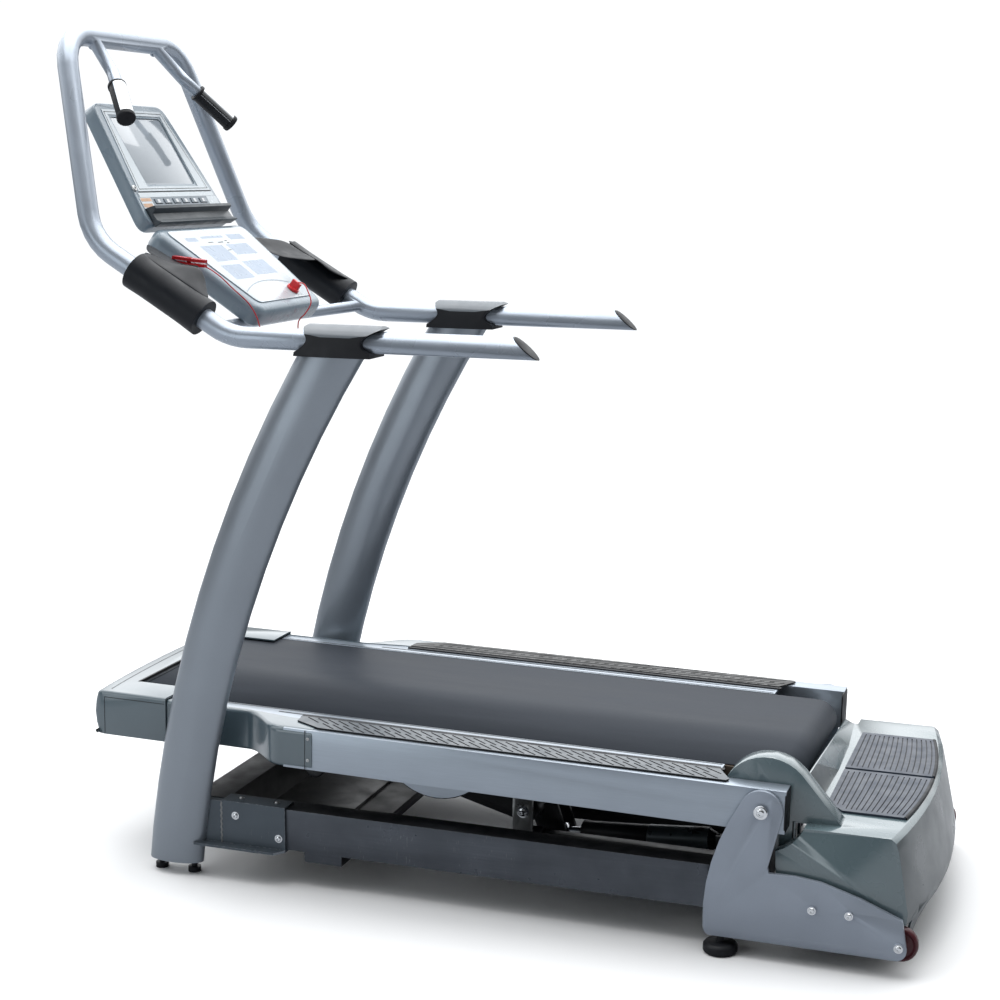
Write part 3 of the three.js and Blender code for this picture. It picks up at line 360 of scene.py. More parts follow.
def loft(sections):
    """Closed solid through rings with the same number of points."""
    n = len(sections[0])
    corners = [p for ring in sections for p in ring]
    faces = []
    for k in range(len(sections) - 1):
        a, b = k * n, (k + 1) * n
        faces += [[a + i, a + (i + 1) % n, b + (i + 1) % n, b + i] for i in range(n)]
    faces.append(list(range(n))[::-1])
    faces.append([len(corners) - n + i for i in range(n)])
    return corners, faces


def prism(outline, low, high):
    """Solid on a counter-clockwise outline, from low to high along local z."""
    return loft([[(x, y, low) for x, y in outline], [(x, y, high) for x, y in outline]])


def box(x0, x1, y0, y1, z0, z1):
    return prism([(x0, y0), (x1, y0), (x1, y1), (x0, y1)], z0, z1)


def lathe(profile, segments=24):
    """Solid of revolution about local z from (radius, height) pairs that rise."""
    turn = [2 * math.pi * i / segments for i in range(segments)]
    return loft([[(r * math.cos(t), r * math.sin(t), h) for t in turn] for r, h in profile])


def curve_through(points, steps=8):
    """Smooth path through the points."""
    pts = [Vector(p) for p in points]
    padded = [pts[0] * 2 - pts[1], *pts, pts[-1] * 2 - pts[-2]]
    path = []
    for a, b, c, d in zip(padded, padded[1:], padded[2:], padded[3:]):
        for k in range(steps):
            t = k / steps
            path.append(0.5 * ((2 * b) + (c - a) * t + (2 * a - 5 * b + 4 * c - d) * t * t
                               + (3 * b - a - 3 * c + d) * t ** 3))
    return path + [pts[-1]]


def sweep(path, radius, segments=10):
    """Round bar along a path."""
    path = [Vector(p) for p in path]
    rings, side = [], None
    for k, point in enumerate(path):
        ahead = (path[min(k + 1, len(path) - 1)] - path[max(k - 1, 0)]).normalized()
        if side is None:
            side = ahead.orthogonal().normalized()
        side = (side - ahead * side.dot(ahead)).normalized()
        other = ahead.cross(side)
        rings.append([point + side * (radius * math.cos(t)) + other * (radius * math.sin(t))
                      for t in (2 * math.pi * i / segments for i in range(segments))])
    return loft(rings)


def strip(path, width, low, high):
    """Flat bar of constant width along a path in local xy."""
    path = [Vector(p) for p in path]
    left, right_side = [], []
    for k, point in enumerate(path):
        ahead = (path[min(k + 1, len(path) - 1)] - path[max(k - 1, 0)]).normalized()
        across = Vector((-ahead.y, ahead.x)) * width / 2
        left.append(point + across)
        right_side.append(point - across)
    return loft([[(r.x, r.y, low), (s.x, s.y, low), (s.x, s.y, high), (r.x, r.y, high)]
                 for r, s in zip(left, right_side)])


def bolt(where, r=8.0, height=5.0):
    """Button-head socket screw on a washer: a dome with a sunk round socket."""
    head = lathe([(r * 1.45, 0), (r * 1.45, 1.2), (r, 1.25), (r, height * 0.5), (r * 0.86, height * 0.85),
                  (r * 0.62, height), (r * 0.46, height), (r * 0.42, height * 0.55)], 24)
    return moved(head, where)


def rounded(x0, x1, z0, z1, r, y):
    """Ring of a rounded rectangle standing across local y."""
    corners = ((x1 - r, z1 - r, 0), (x0 + r, z1 - r, 90), (x0 + r, z0 + r, 180), (x1 - r, z0 + r, 270))
    return [(cx + r * math.cos(math.radians(start + step)), y, cz + r * math.sin(math.radians(start + step)))
            for cx, cz, start in corners for step in range(0, 91, 15)]


def half_shell(r, thick, spread, z0, z1):
    """Part of a thin tube, centred on local y."""
    angles = [math.radians(90 - spread / 2 + spread * k / 20) for k in range(21)]
    outline = [((r + thick) * math.cos(t), (r + thick) * math.sin(t)) for t in angles]
    outline += [(r * math.cos(t), r * math.sin(t)) for t in angles[::-1]]
    return prism(outline, z0, z1)


def trapezoid(half_low, half_high, y0, y1):
    return [(-half_low, y0), (half_low, y0), (half_high, y1), (-half_high, y1)]


def ring_plate(outer, inner, low, high):
    """Flat frame between two outlines with the same number of points."""
    n = len(outer)
    corners = [(*p, z) for z in (low, high) for p in (*outer, *inner)]
    faces = []
    for i in range(n):
        j = (i + 1) % n
        faces += [[i, j, n + j, n + i], [2 * n + j, 2 * n + i, 3 * n + i, 3 * n + j],
                  [i, 2 * n + i, 2 * n + j, j], [n + j, 3 * n + j, 3 * n + i, n + i]]
    return corners, faces


def add(name, parts, look, body, where=ROW):
    corners, faces = [], []
    for part in parts:
        part_corners, part_faces = moved(part, where)
        start = len(corners)
        corners += [c * MM for c in part_corners]
        faces += [[start + i for i in face] for face in part_faces]
    mesh = bpy.data.meshes.new(name)
    mesh.from_pydata(corners, [], faces)
    tidy = bmesh.new()
    tidy.from_mesh(mesh)
    bmesh.ops.recalc_face_normals(tidy, faces=tidy.faces)
    tidy.to_mesh(mesh)
    tidy.free()
    piece = bpy.data.objects.new(name, mesh)
    bpy.context.scene.collection.objects.link(piece)
    paint(piece, look)
    smooth(piece)
    mesh.set_sharp_from_angle(angle=math.radians(35))
    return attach(piece, body) if body else piece


def extent(node, where=ROW):
    """Lowest and highest corners of a CAD node in a local frame."""
    inverse = where.inverted()
    points = [inverse @ (v.co / MM) for v in NODES[node].data.vertices]
    return [Vector([pick(p[i] for p in points) for i in range(3)]) for pick in (min, max)]


def copied(node, name, look):
    """A clean copy of a CAD node with flat triangles merged; it stands for the node."""
    mesh = NODES[node].data.copy()
    work = bmesh.new()
    work.from_mesh(mesh)
    bmesh.ops.remove_doubles(work, verts=work.verts, dist=0.02 * MM)
    bmesh.ops.dissolve_limit(work, angle_limit=math.radians(0.6), verts=work.verts, edges=work.edges)
    work.to_mesh(mesh)
    work.free()
    for layer in [a for a in mesh.attributes if a.name == "custom_normal"]:
        mesh.attributes.remove(layer)
    piece = bpy.data.objects.new(name, mesh)
    bpy.context.scene.collection.objects.link(piece)
    paint(piece, look)
    smooth(piece)
    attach(piece, NODES[node]["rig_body"])
    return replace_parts(piece, node)


def bake(piece):
    """Turns the piece's modifiers into its mesh."""
    bpy.context.view_layer.update()
    evaluated = piece.evaluated_get(bpy.context.evaluated_depsgraph_get())
    mesh = bpy.data.meshes.new_from_object(evaluated)
    piece.modifiers.clear()
    piece.data = mesh


def round_edges(piece, width_of, segments=4, limit=False):
    """Rounds each sharp edge by width_of(middle of the edge in mm), in mm; limit keeps neighbours apart."""
    mesh = piece.data
    work = bmesh.new()
    work.from_mesh(mesh)
    widths = [width_of((e.verts[0].co + e.verts[1].co) / 2 / MM)
              if e.is_manifold and e.calc_face_angle(0) > math.radians(25) else 0.0 for e in work.edges]
    work.free()
    widest = max(widths)
    weights = mesh.attributes.new("bevel_weight_edge", "FLOAT", "EDGE")
    weights.data.foreach_set("value", [w / widest for w in widths])
    bevel = piece.modifiers.new("round", "BEVEL")
    bevel.width = widest * MM
    bevel.segments = segments
    bevel.limit_method = "WEIGHT"
    bevel.use_clamp_overlap = limit
    bevel.harden_normals = True
    bake(piece)
    piece.data.set_sharp_from_angle(angle=math.radians(50))


def engrave(piece, cutters, where, look):
    """Cuts closed solids out of a piece; the cut faces take another finish."""
    tool = add("tool", cutters, look, "base", where)
    piece.data.materials.append(FINISHES[look])
    cut = piece.modifiers.new("cut", "BOOLEAN")
    cut.operation = "DIFFERENCE"
    cut.solver = "EXACT"
    cut.material_mode = "TRANSFER"
    cut.object = tool
    bake(piece)
    bpy.data.objects.remove(tool)
    piece.data.set_sharp_from_angle(angle=math.radians(35))


def sheet(name, rows, thickness, look, body):
    """Moulded sheet through a grid of points, thickened and subdivided."""
    n = len(rows[0])
    corners = [Vector(p) * MM for row in rows for p in row]
    faces = [[k * n + i, k * n + i + 1, (k + 1) * n + i + 1, (k + 1) * n + i]
             for k in range(len(rows) - 1) for i in range(n - 1)]
    mesh = bpy.data.meshes.new(name)
    mesh.from_pydata(corners, [], faces)
    piece = bpy.data.objects.new(name, mesh)
    bpy.context.scene.collection.objects.link(piece)
    thick = piece.modifiers.new("thick", "SOLIDIFY")
    thick.thickness = thickness * MM
    thick.offset = 0
    rounder = piece.modifiers.new("rounder", "SUBSURF")
    rounder.levels = rounder.render_levels = 2
    paint(piece, look)
    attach(piece, body)
    bake(piece)
    smooth(piece)


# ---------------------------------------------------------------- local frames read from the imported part

pivot = Vector(JOINTS["rear_roller_spin"]["pos_m"]) / MM
nose = Vector(JOINTS["front_roller_spin"]["pos_m"]) / MM
deck_back = (pivot - nose).normalized()
DECK = frame_at(pivot, (1, 0, 0), deck_back, Vector((1, 0, 0)).cross(deck_back))


def face_frame(out, node, middle_y, middle_z):
    """Frame on a console face: x to the user's right, y up the face, z out of it."""
    out = Vector(out)
    across = Vector((-1, 0, 0))
    low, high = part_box(node)
    climb = out.cross(across)
    return frame_at((low + high) / 2 / MM - climb * middle_y - out * middle_z, across, climb, out)


CONSOLE = face_frame(JOINTS["safety_key_pull"]["axis"], "console_overlay", 162, 1.4)
DISPLAY = face_frame([-c for c in JOINTS["display_key_1_press"]["axis"]], "display_screen", 202, -4.85)


def outward(x, y, z):
    """Frame on the left face of the machine, z pointing away from it."""
    return frame_at((x, y, z), (0, 1, 0), (0, 0, 1), (1, 0, 0))


def handle_frame(node):
    """Frame on a bar, z towards its low end and y towards the user, with the bar's two ends on z."""
    points = [v.co / MM for v in NODES[node].data.vertices]
    middle = sum(points, Vector()) / len(points)
    far = max(points, key=lambda p: (p - middle).length)
    along = (far - middle).normalized()
    for _ in range(30):
        along = sum(((p - middle) * (p - middle).dot(along) for p in points), Vector()).normalized()
    along = along if along.z < 0 else -along
    reach = [(p - middle).dot(along) for p in points]
    facing = Vector((0, 0.9, 1.0))
    facing = (facing - along * facing.dot(along)).normalized()
    return frame_at(middle, facing.cross(along), facing, along), min(reach), max(reach)


# ---------------------------------------------------------------- deck

SLOT_PITCH = 25.0
SLOT_DEPTH = 1.4
SLOT_ROWS = 31.0
SLOT = ((-15.6, -17.6), (-12.4, -20), (15.6, 17.6), (12.4, 20))


def grip_pad(side_name, side):
    """Side pad with two rows of slanted slots and black edges; the near pad's top is a lighter grey, a
    painted sheen.
    """
    low, high = extent(f"side_pad_{side_name}", DECK)
    # Painted sheen: the near pad takes a lighter grey than the far one.
    look = "pad_rubber_painted_sheen" if side > 0 else "pad_dark"
    pad = copied(f"side_pad_{side_name}", f"grip_pad_{side_name}", look)
    inner = min(abs(low.x), abs(high.x))
    cutters = []
    for row in range(2):
        middle = inner + 18 + SLOT_ROWS * row
        y = low.y + 36 + 2 * SLOT_PITCH * row
        while y < high.y - 26:
            outline = [(middle + dx, y + dy) for dx, dy in SLOT]
            cutters.append(prism(outline, high.z - SLOT_DEPTH, high.z + 2))
            y += SLOT_PITCH
    engrave(pad, sided(cutters, side), DECK, "black_rubber")
    for polygon in pad.data.polygons:
        if polygon.normal.z < 0.5:
            polygon.material_index = 1


def rail_width(middle):
    """Rounding of a side tube: only its outer long edges are soft."""
    p = DECK.inverted() @ middle
    if abs(p.x) < 416 or -1110 > p.y or p.y > 40:
        return 0.4
    return 12.0 if p.z > 40 else 8.0 if p.z < -40 else 0.4


def side_tube(side_name, side):
    """Side tube with its black end and the dark lines beside the belt: two thin ones are painted shade in the
    gap at the belt's edge and in a groove, and the wide one is the black band along the pad.
    """
    # Painted shade: thin black strips for the gap at the belt's edge and for a groove; the wide strip is the
    # black band along the pad.
    lines = [box(289.5, 292.5, -1420, -112, 45, 45.4), box(307, 311, -1150, -112, 45, 45.4),
             box(322, 334, -1082, -100, 45, 48.5)]
    add(f"belt_edge_shade_and_black_lines_{side_name}", sided(lines, side), "black_rubber", "deck", DECK)
    end = loft([rounded(342 + inset, 417.5 - inset, -45.5 + inset, 44.5 - inset, 11 - inset, y)
                for y, inset in ((46, 0.8), (48.7, 0.8), (49.4, 2.5))])
    add(f"rail_end_{side_name}", sided([end], side), "black_rubber", "deck", DECK)
    rail = copied(f"deck_rail_{side_name}", f"rail_tube_{side_name}", "rail_silver")
    round_edges(rail, rail_width, 6)


def deck_trim(side_name, side):
    """Rivets and seams of the sleeve and the front cap, and the face of the round hanger plate."""
    rivets = [bolt(outward(418, -1027, z), 2.6, 2.2) for z in (-24, 26)]
    add(f"sleeve_rivets_{side_name}", sided(rivets, side), "zinc", "deck", DECK)
    seam = [box(417.7, 418.4, -1035, -1033.6, -46, 45)]
    add(f"sleeve_seam_{side_name}", sided(seam, side), "ink", "deck", DECK)
    panel = [box(340.7, 341.4, -1590, -1431, 37, 38.4), box(340.7, 341.4, -1591.4, -1590, -53, 38.4)]
    add(f"front_cap_seam_{side_name}", sided(panel, side), "ink", "deck", DECK)
    disc = [(-762 + 141 * math.cos(t), 28 + 141 * math.sin(t))
            for t in (math.radians(200 + 140 * k / 24) for k in range(25))]
    plate = loft([[(x, y, z) for y, z in disc] for x in (302.6, 304.2)])
    add(f"hanger_face_{side_name}", sided([plate], side), "rail_silver", "deck", DECK)


SHOULDER_START = -1100
SHOULDER_LENGTH = 118
NARROW_HALF = 336


def sleeve_ring(y, low, high):
    """Cross-section of a sleeve: it wraps the side tube, then narrows in a soft shoulder."""
    t = min(1, max(0, (SHOULDER_START - y) / SHOULDER_LENGTH))
    outer = high.x - (high.x - NARROW_HALF) * t * t * (3 - 2 * t)
    inner = 343 - 19 * t
    r = 14 - 5 * t
    arcs = [(outer - r, low.z + r, 270), (outer - r, high.z - r, 0)]
    bend = [(x + r * math.cos(math.radians(start + a)), y, z + r * math.sin(math.radians(start + a)))
            for x, z, start in arcs for a in range(0, 91, 15)]
    return [(inner, y, low.z), *bend, (inner, y, high.z)]


def deck_sleeve(side_name, side):
    low, high = extent("rail_cover_left", DECK)
    shoulder = [SHOULDER_START - SHOULDER_LENGTH * k / 14 for k in range(15)]
    stations = [high.y, -1060, -1098, *shoulder, -1300, low.y]
    shell = loft([sleeve_ring(y, low, high) for y in stations])
    cover = add(f"deck_sleeve_{side_name}", sided([shell], side), "cover_plastic", "deck", DECK)
    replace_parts(cover, f"rail_cover_{side_name}")


def cap_width(middle):
    """Rounding of the front cap: soft front corners and top rim."""
    p = DECK.inverted() @ middle
    at_corner = abs(p.x) > 330 and p.y < -1560
    on_rim = p.z > 50 and (abs(p.x) > 338 or p.y < -1590)
    return 12.0 if at_corner else 7.0 if on_rim else 0.4


for side_name, side in SIDES:
    grip_pad(side_name, side)
    side_tube(side_name, side)
    deck_trim(side_name, side)
for side_name, side in SIDES:
    deck_sleeve(side_name, side)

cap = copied("front_cap", "front_cap_shell", "cover_plastic")
round_edges(cap, cap_width, 5)
bow = [(x, -1606 - 16 * (1 - (x / 341) ** 2) + 24) for x in range(-318, 319, 12)]
add("front_cap_groove", [strip(bow, 1.6, 51.8, 52.3)], "ink", "deck", DECK)
mouth = [(-238, -1556), (238, -1556)]
add("front_cap_lip", [strip(mouth, 5, 46, 52.6)], "black_rubber", "deck", DECK)

# ---------------------------------------------------------------- welded base and lift actuator

def base_finish(centre):
    """0 painted beams, 1 bare fulcrum brackets, 2 black inner parts."""
    x, y, z = (c / MM for c in centre)
    if 144 < abs(x) < 158 and z > 100:
        return 1
    return 2 if abs(x) < 327 or z < 83 and y < -270 else 0


def base_width(middle):
    return 5.0 if abs(middle.x) > 326 and middle.z > 83 else 1.2


base = copied("base_frame", "base_weldment", "base_steel")
base.data.materials.append(FINISHES["bare_steel"])
base.data.materials.append(FINISHES["black_steel"])
for polygon in base.data.polygons:
    polygon.material_index = base_finish(polygon.center)
round_edges(base, base_width, 4, True)
base.data.set_sharp_from_angle(angle=math.radians(35))

back_eye = Vector(JOINTS["actuator_tilt"]["pos_m"]) / MM
crank_pin = (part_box("actuator_rod")[0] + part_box("actuator_rod")[1]) / 2 / MM
rod_way = Vector((0, crank_pin.y - back_eye.y, crank_pin.z - back_eye.z)).normalized()
SCREW = frame_at(back_eye, (1, 0, 0), Vector((0, rod_way.z, -rod_way.y)), rod_way)
can = [(24, 44), (30.8, 46), (30.8, 190), (28, 193), (24, 193)]
add("actuator_motor_can", [lathe(can, 32)], "motor_grey", NODES["actuator_body"]["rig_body"], SCREW)

axle = Vector(JOINTS["lift_pivot"]["pos_m"]) / MM
for side_name, side in SIDES:
    head = bolt(outward(157.2, axle.y, axle.z), 10, 8)
    add(f"fulcrum_screw_{side_name}", sided([head], side), "chrome", "base")

# ---------------------------------------------------------------- rear hood and step mats

def hood_width(middle):
    """Rounding of the hood: soft top rim and rear corners."""
    top_rim = 284 < middle.z < 296 and (abs(middle.x) > 396 or middle.y > 940)
    corner = abs(middle.x) > 403 and middle.z > 60 and middle.y > 940
    return 14.0 if corner else 10.0 if top_rim else 0.8


hood = copied("rear_hood", "hood_shell", "hood_plastic")
round_edges(hood, hood_width, 5, True)
# Rear-facing faces take the darker finish, a painted shade.
hood.data.materials.append(FINISHES["hood_rear_painted_shade"])
for polygon in hood.data.polygons:
    polygon.material_index = int(polygon.normal.y > 0.88)

MAT_GROOVES = 15
MAT_HALF = 285


def bow_of(x):
    """How far the mats' rear edge falls back at x."""
    return 27 * (x / MAT_HALF) ** 2


def step_mat(side_name, side):
    """Step mat with curved grooves and a rounded rear rim."""
    node = f"step_mat_{side_name}"
    low, high = extent(node)
    mat = copied(node, f"ribbed_mat_{side_name}", "mat_rubber")
    cutters = []
    for k in range(1, MAT_GROOVES + 1):
        path = []
        for step in range(13):
            x = 20 + (270 - 20) * step / 12
            y = low.y + (high.y - bow_of(x) - low.y) * k / (MAT_GROOVES + 1)
            if side < 0 or x < 232 + (y - low.y) * 1.18 - 6:
                path.append((x, y))
        cutters.append(strip(path, 2.4, high.z - 1.8, high.z + 2))
    engrave(mat, sided(cutters, side), ROW, "black_rubber")
    rim = [(x, high.y - bow_of(x) - 1, high.z - 3.2) for x in range(8, MAT_HALF, 12)]
    add(f"mat_rim_{side_name}", sided([sweep(rim, 4.6, 12)], side), "black_rubber", "base")


# ---------------------------------------------------------------- screws, brackets, masts and clamps

def side_screws(side_name, side):
    """Screws of the side plate and the mast's bracket, and the bracket's weld."""
    places = ((792, 127, 6.2), (868, 126, 6.2), (970, 70, 6.5))
    heads = [bolt(outward(433, y, z), r, 3.5) for y, z, r in places]
    add(f"plate_screws_{side_name}", sided(heads, side), "chrome", "base")
    pin = [bolt(outward(436, pivot.y, pivot.z), 8.5, 4)]
    add(f"pivot_cap_{side_name}", sided(pin, side), "chrome", "base")
    bracket = [bolt(outward(393, y, z), 6.5, 5) for y, z in ((-543, 152), (-434, 110))]
    add(f"bracket_screws_{side_name}", sided(bracket, side), "chrome", "base")
    lids = [bolt(Matrix.Translation((366, y, 185)), 5, 4) for y in (-540, -450)]
    add(f"lip_screws_{side_name}", sided(lids, side), "zinc", "base")
    bead = [sweep([(392, -579 + 1.2 * math.sin(k * 1.9), 84 + 4 * k) for k in range(25)], 2.6, 8)]
    add(f"bracket_weld_{side_name}", sided(bead, side), "bare_steel", "base")


def two_tone(node, name, look, second, takes_second, angle):
    """Copy of a node in which the polygons that takes_second picks have a second finish."""
    piece = copied(node, name, look)
    piece.data.materials.append(FINISHES[second])
    for polygon in piece.data.polygons:
        polygon.material_index = int(takes_second(polygon))
    piece.data.set_sharp_from_angle(angle=math.radians(angle))


# Faces of the mast's bracket, which take a darker finish as painted shade.
def on_bracket(polygon):
    flat = max(abs(c) for c in polygon.normal) > 0.999
    return flat and polygon.center.z < 0.19 and polygon.center.y > -0.64


# Up-facing faces at the top of the clamp, which take a lighter grey.
def on_clamp_top_faces(polygon):
    return polygon.normal.z > 0.35 and polygon.center.z > 1.262


for side_name, side in SIDES:
    step_mat(side_name, side)
    side_screws(side_name, side)
    two_tone(f"upright_{side_name}", f"mast_{side_name}", "mast_paint", "bracket_shade_and_wear", on_bracket, 30)
    two_tone(f"clamp_{side_name}", f"rail_clamp_{side_name}", "black_rubber", "clamp_top", on_clamp_top_faces, 40)

# ---------------------------------------------------------------- grab grips

for side_name, side in SIDES:
    where, start, end = handle_frame(f"grab_grip_{side_name}")
    pulse = half_shell(20.2, 1.0, 140, start + 7, end - 12)
    add(f"pulse_plate_{side_name}", [pulse], "chrome", "base", where)
    tip = lathe([(20.0, end - 11), (22, end - 9.5), (22, end - 2), (20.5, end + 0.2), (12, end + 0.8)], 28)
    collar = lathe([(20.0, start - 0.5), (21.6, start + 0.5), (21.6, start + 6), (20.0, start + 7)], 28)
    add(f"grip_ends_{side_name}", [tip, collar], "black_rubber", "base", where)

# ---------------------------------------------------------------- moulded hand pads

HOOP_LOW = Vector((394, -532, 1255))
HOOP_HIGH = Vector((386, -877, 1459))
climb = (HOOP_HIGH - HOOP_LOW).normalized()
lift = Vector((1, 0, 0)).cross(climb).normalized() * -1
PAD_POINTS = 40
PAD_LOW, PAD_HIGH = 76, 274
RIDGE = [(362, 285, 41), (352, 242, 43), (340, 200, 56), (326, 162, 79), (326, 152, 80)]
WALL = [
    [(393, 274, 41), (378, 278, 42)], [(393, 236, 41), (374, 240, 43)], [(393, 186, 41), (368, 194, 46)],
    [(393, 128, 41), (362, 142, 55)], [(393, 78, 41), (362, 108, 43)],
]
WALL_END = [RIDGE[0], RIDGE[1], RIDGE[2], RIDGE[3], (334, 132, 46)]
TRAY = [
    [(300, 318, 31), (238, 350, 19)], [(306, 262, 27), (238, 304, 20)],
    [(300, 224, 33), (238, 262, 24)], [(296, 186, 52), (238, 228, 30)],
]


def beside_rail(side, x, s, b):
    """Point by the slanted part of the handrail: x across, s up along it, b above its axis."""
    b = b if side > 0 else min(b, 42 + (b - 42) * 0.35)
    p = HOOP_LOW + climb * s + lift * b
    return (side * x, p.y, p.z)


def pad_ring(side, s, r):
    """Circle of radius r round the handrail, s up along it."""
    turn = [2 * math.pi * i / PAD_POINTS for i in range(PAD_POINTS)]
    ring = [HOOP_LOW + climb * s + Vector((1, 0, 0)) * r * math.cos(t) + lift * r * math.sin(t) for t in turn]
    return [(side * p.x, p.y, p.z) for p in ring]

def hand_pad(side_name, side):
    """Round sleeve on the handrail, a folded wall and a shallow tray."""
    n = PAD_POINTS
    rings = []
    for k in range(21):
        rim = math.cos(math.pi * k / 20) ** 8
        rings.append(pad_ring(side, PAD_LOW + (PAD_HIGH - PAD_LOW) * k / 20, 41.5 + 1.6 * rim))
    rings += [pad_ring(side, s, 24.6) for s in (PAD_HIGH, PAD_LOW)]
    count = len(rings)
    faces = [[k * n + i, k * n + (i + 1) % n, (k + 1) % count * n + (i + 1) % n, (k + 1) % count * n + i]
             for k in range(count) for i in range(n)]
    corners = [p for ring in rings for p in ring]
    sleeve = add(f"pad_sleeve_{side_name}", [(corners, faces)], "pad_moulding", "base")
    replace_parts(sleeve, f"hand_pad_{side_name}")
    wall = [[beside_rail(side, *p) for p in (*row, tail)] for row, tail in zip(WALL, WALL_END)]
    sheet(f"pad_wall_{side_name}", wall, 5, "pad_moulding", "base")
    tray = [[beside_rail(side, *p) for p in (ridge, *row)] for ridge, row in zip(RIDGE, TRAY)]
    sheet(f"pad_tray_{side_name}", tray, 5, "pad_moulding", "base")


for side_name, side in SIDES:
    hand_pad(side_name, side)

# ---------------------------------------------------------------- lower console

low, high = extent("lower_console", CONSOLE)
NARROW_END, WIDE_END, CORNER = 174, 228, 34
BASE_ROUND, FACE_ROUND = 12, 19


def console_outline(inset):
    """Rounded trapezoid of the lower console, moved inwards."""
    slope = (WIDE_END - NARROW_END) / high.y
    lean = math.degrees(math.atan(slope))
    reach = CORNER * math.hypot(1, slope)
    near_x = NARROW_END + slope * CORNER - reach
    far_x = WIDE_END - slope * CORNER - reach
    outline = []
    for x, y, start, end in ((near_x, CORNER, -90, -lean), (far_x, high.y - CORNER, -lean, 90)):
        for k in range(9):
            a = math.radians(start + (end - start) * k / 8)
            outline.append((x + (CORNER - inset) * math.cos(a), y + (CORNER - inset) * math.sin(a)))
    return outline + [(-x, y) for x, y in outline[::-1]]


edge_turn = [math.radians(15 * k) for k in range(7)]
profile = [(BASE_ROUND * (1 - math.sin(a)), low.z + BASE_ROUND * (1 - math.cos(a))) for a in edge_turn]
profile += [(FACE_ROUND * (1 - math.cos(a)), high.z - FACE_ROUND * (1 - math.sin(a))) for a in edge_turn]
shell = loft([[(x, y, z) for x, y in console_outline(inset)] for inset, z in profile])
console = add("lower_console_shell", [shell], "console_plastic", "base", CONSOLE)
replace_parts(console, "lower_console")

PATCHES = (
    ((-120, -12), (178, 236)), ((10, 118), (196, 236)), ((-128, -30), (112, 164)), ((-8, 104), (120, 172)),
    ((-70, 40), (262, 270)), ((64, 140), (252, 272)), ((-150, -96), (254, 268)),
)
films = [box(x0, x1, y0, y1, 2.5, 2.62) for (x0, x1), (y0, y1) in PATCHES]
add("overlay_areas", films, "panel_blue", "base", CONSOLE)
arc = [(x, 68 + 30 * (1 - (x / 146) ** 2)) for x in range(-144, 145, 12)]
add("overlay_arc", [strip(arc[::-1], 3.4, 2.4, 2.9)], "console_plastic", "base", CONSOLE)
BARS = ((-14, 244, 26, 3), (26, 240, 12, 3), (26, 248, 12, 3), (-60, 246, 24, 2.4), (-10, 214, 18, 2.4))
marks = [box(x, x + w, y, y + h, 2.5, 2.75) for x, y, w, h in BARS]
add("overlay_marks", marks, "ink", "base", CONSOLE)

# ---------------------------------------------------------------- display

low, high = extent("display_housing", DISPLAY)


def display_width(middle):
    """Rounding of the display housing: only its outer rim is soft."""
    p = DISPLAY.inverted() @ middle
    half = 210 - (210 - 165) * p.y / 333
    on_rim = abs(p.x) > half - 16 or p.y < 14 or p.y > high.y - 14
    return 9.0 if on_rim else 0.25


housing = copied("display_housing", "display_shell", "console_plastic")
round_edges(housing, display_width, 5, True)
panel = ring_plate(trapezoid(176, 140, 92, 314), trapezoid(124, 124, 104, 300), 0.2, 1.4)
add("display_panel", [panel], "panel_plastic", "base", DISPLAY)
lines = [ring_plate(trapezoid(168, 135, 97, 308), trapezoid(166.6, 133.8, 98.4, 306.6), 1.4, 1.7),
         box(-178, 178, 89, 90.6, 0.3, 1.5)]
add("display_lines", lines, "ink", "base", DISPLAY)

KEYS = [f"display_key_{i}" for i in range(1, 7)]
KEY_GAP = 1.2
key_low, key_high = extent(KEYS[0], DISPLAY)
y0, y1 = key_low.y - KEY_GAP, key_high.y + KEY_GAP
holes = sorted((a.x - KEY_GAP, b.x + KEY_GAP) for a, b in (extent(key, DISPLAY) for key in KEYS))
band_start, band_end = holes[0][0] - 10, holes[-1][1] + 10
xs = [band_start, *(x for hole in holes for x in hole), band_end]
bars = [box(a, b, y0, y1, 0.2, 1.0) for a, b in zip(xs[::2], xs[1::2])]
bars += [box(band_start, band_end, y1, y1 + 4, 0.2, 1.0), box(band_start, band_end, y0 - 4, y0, 0.2, 1.0)]
add("key_band", bars, "band_grey", "base", DISPLAY)
surround = [
    box(-184, 182, y1 + 4.6, 88.4, 0.2, 1.0), box(-190, band_start - 0.6, y0 - 12, y1 + 4, 0.2, 1.0),
    box(band_end + 0.6, 187, y0 - 12, y1 + 4, 0.2, 1.0),
    box(band_start, band_end, y0 - 12, y0 - 4.6, 0.2, 1.0),
]
add("key_surround", surround, "panel_plastic", "base", DISPLAY)
for i, key in enumerate(KEYS, 1):
    a, b = extent(key, DISPLAY)
    middle = (a.x + b.x) / 2
    stripe = box(middle - 5.5, middle + 5.5, a.y + 1.4, b.y - 1.4, b.z, b.z + 0.4)
    add(f"key_stripe_{i}", [stripe], "key_plastic", NODES[key]["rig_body"], DISPLAY)
labels = [box(-187, band_start - 3, y0 + 8, y1 + 2, 1.0, 1.3),
          box(-187, band_start - 8, y0 - 8, y0 + 2, 1.0, 1.3)]
add("label_patch_warm", labels, "patch_warm", "base", DISPLAY)
jack = lathe([(8, 0), (8, 3), (6.5, 4.2), (3.2, 4.2), (3.0, 1)], 24)
add("side_jack", [moved(jack, Matrix.Translation((-188, 100, 0)))], "zinc", "base", DISPLAY)

# ---------------------------------------------------------------- safety cord and clip

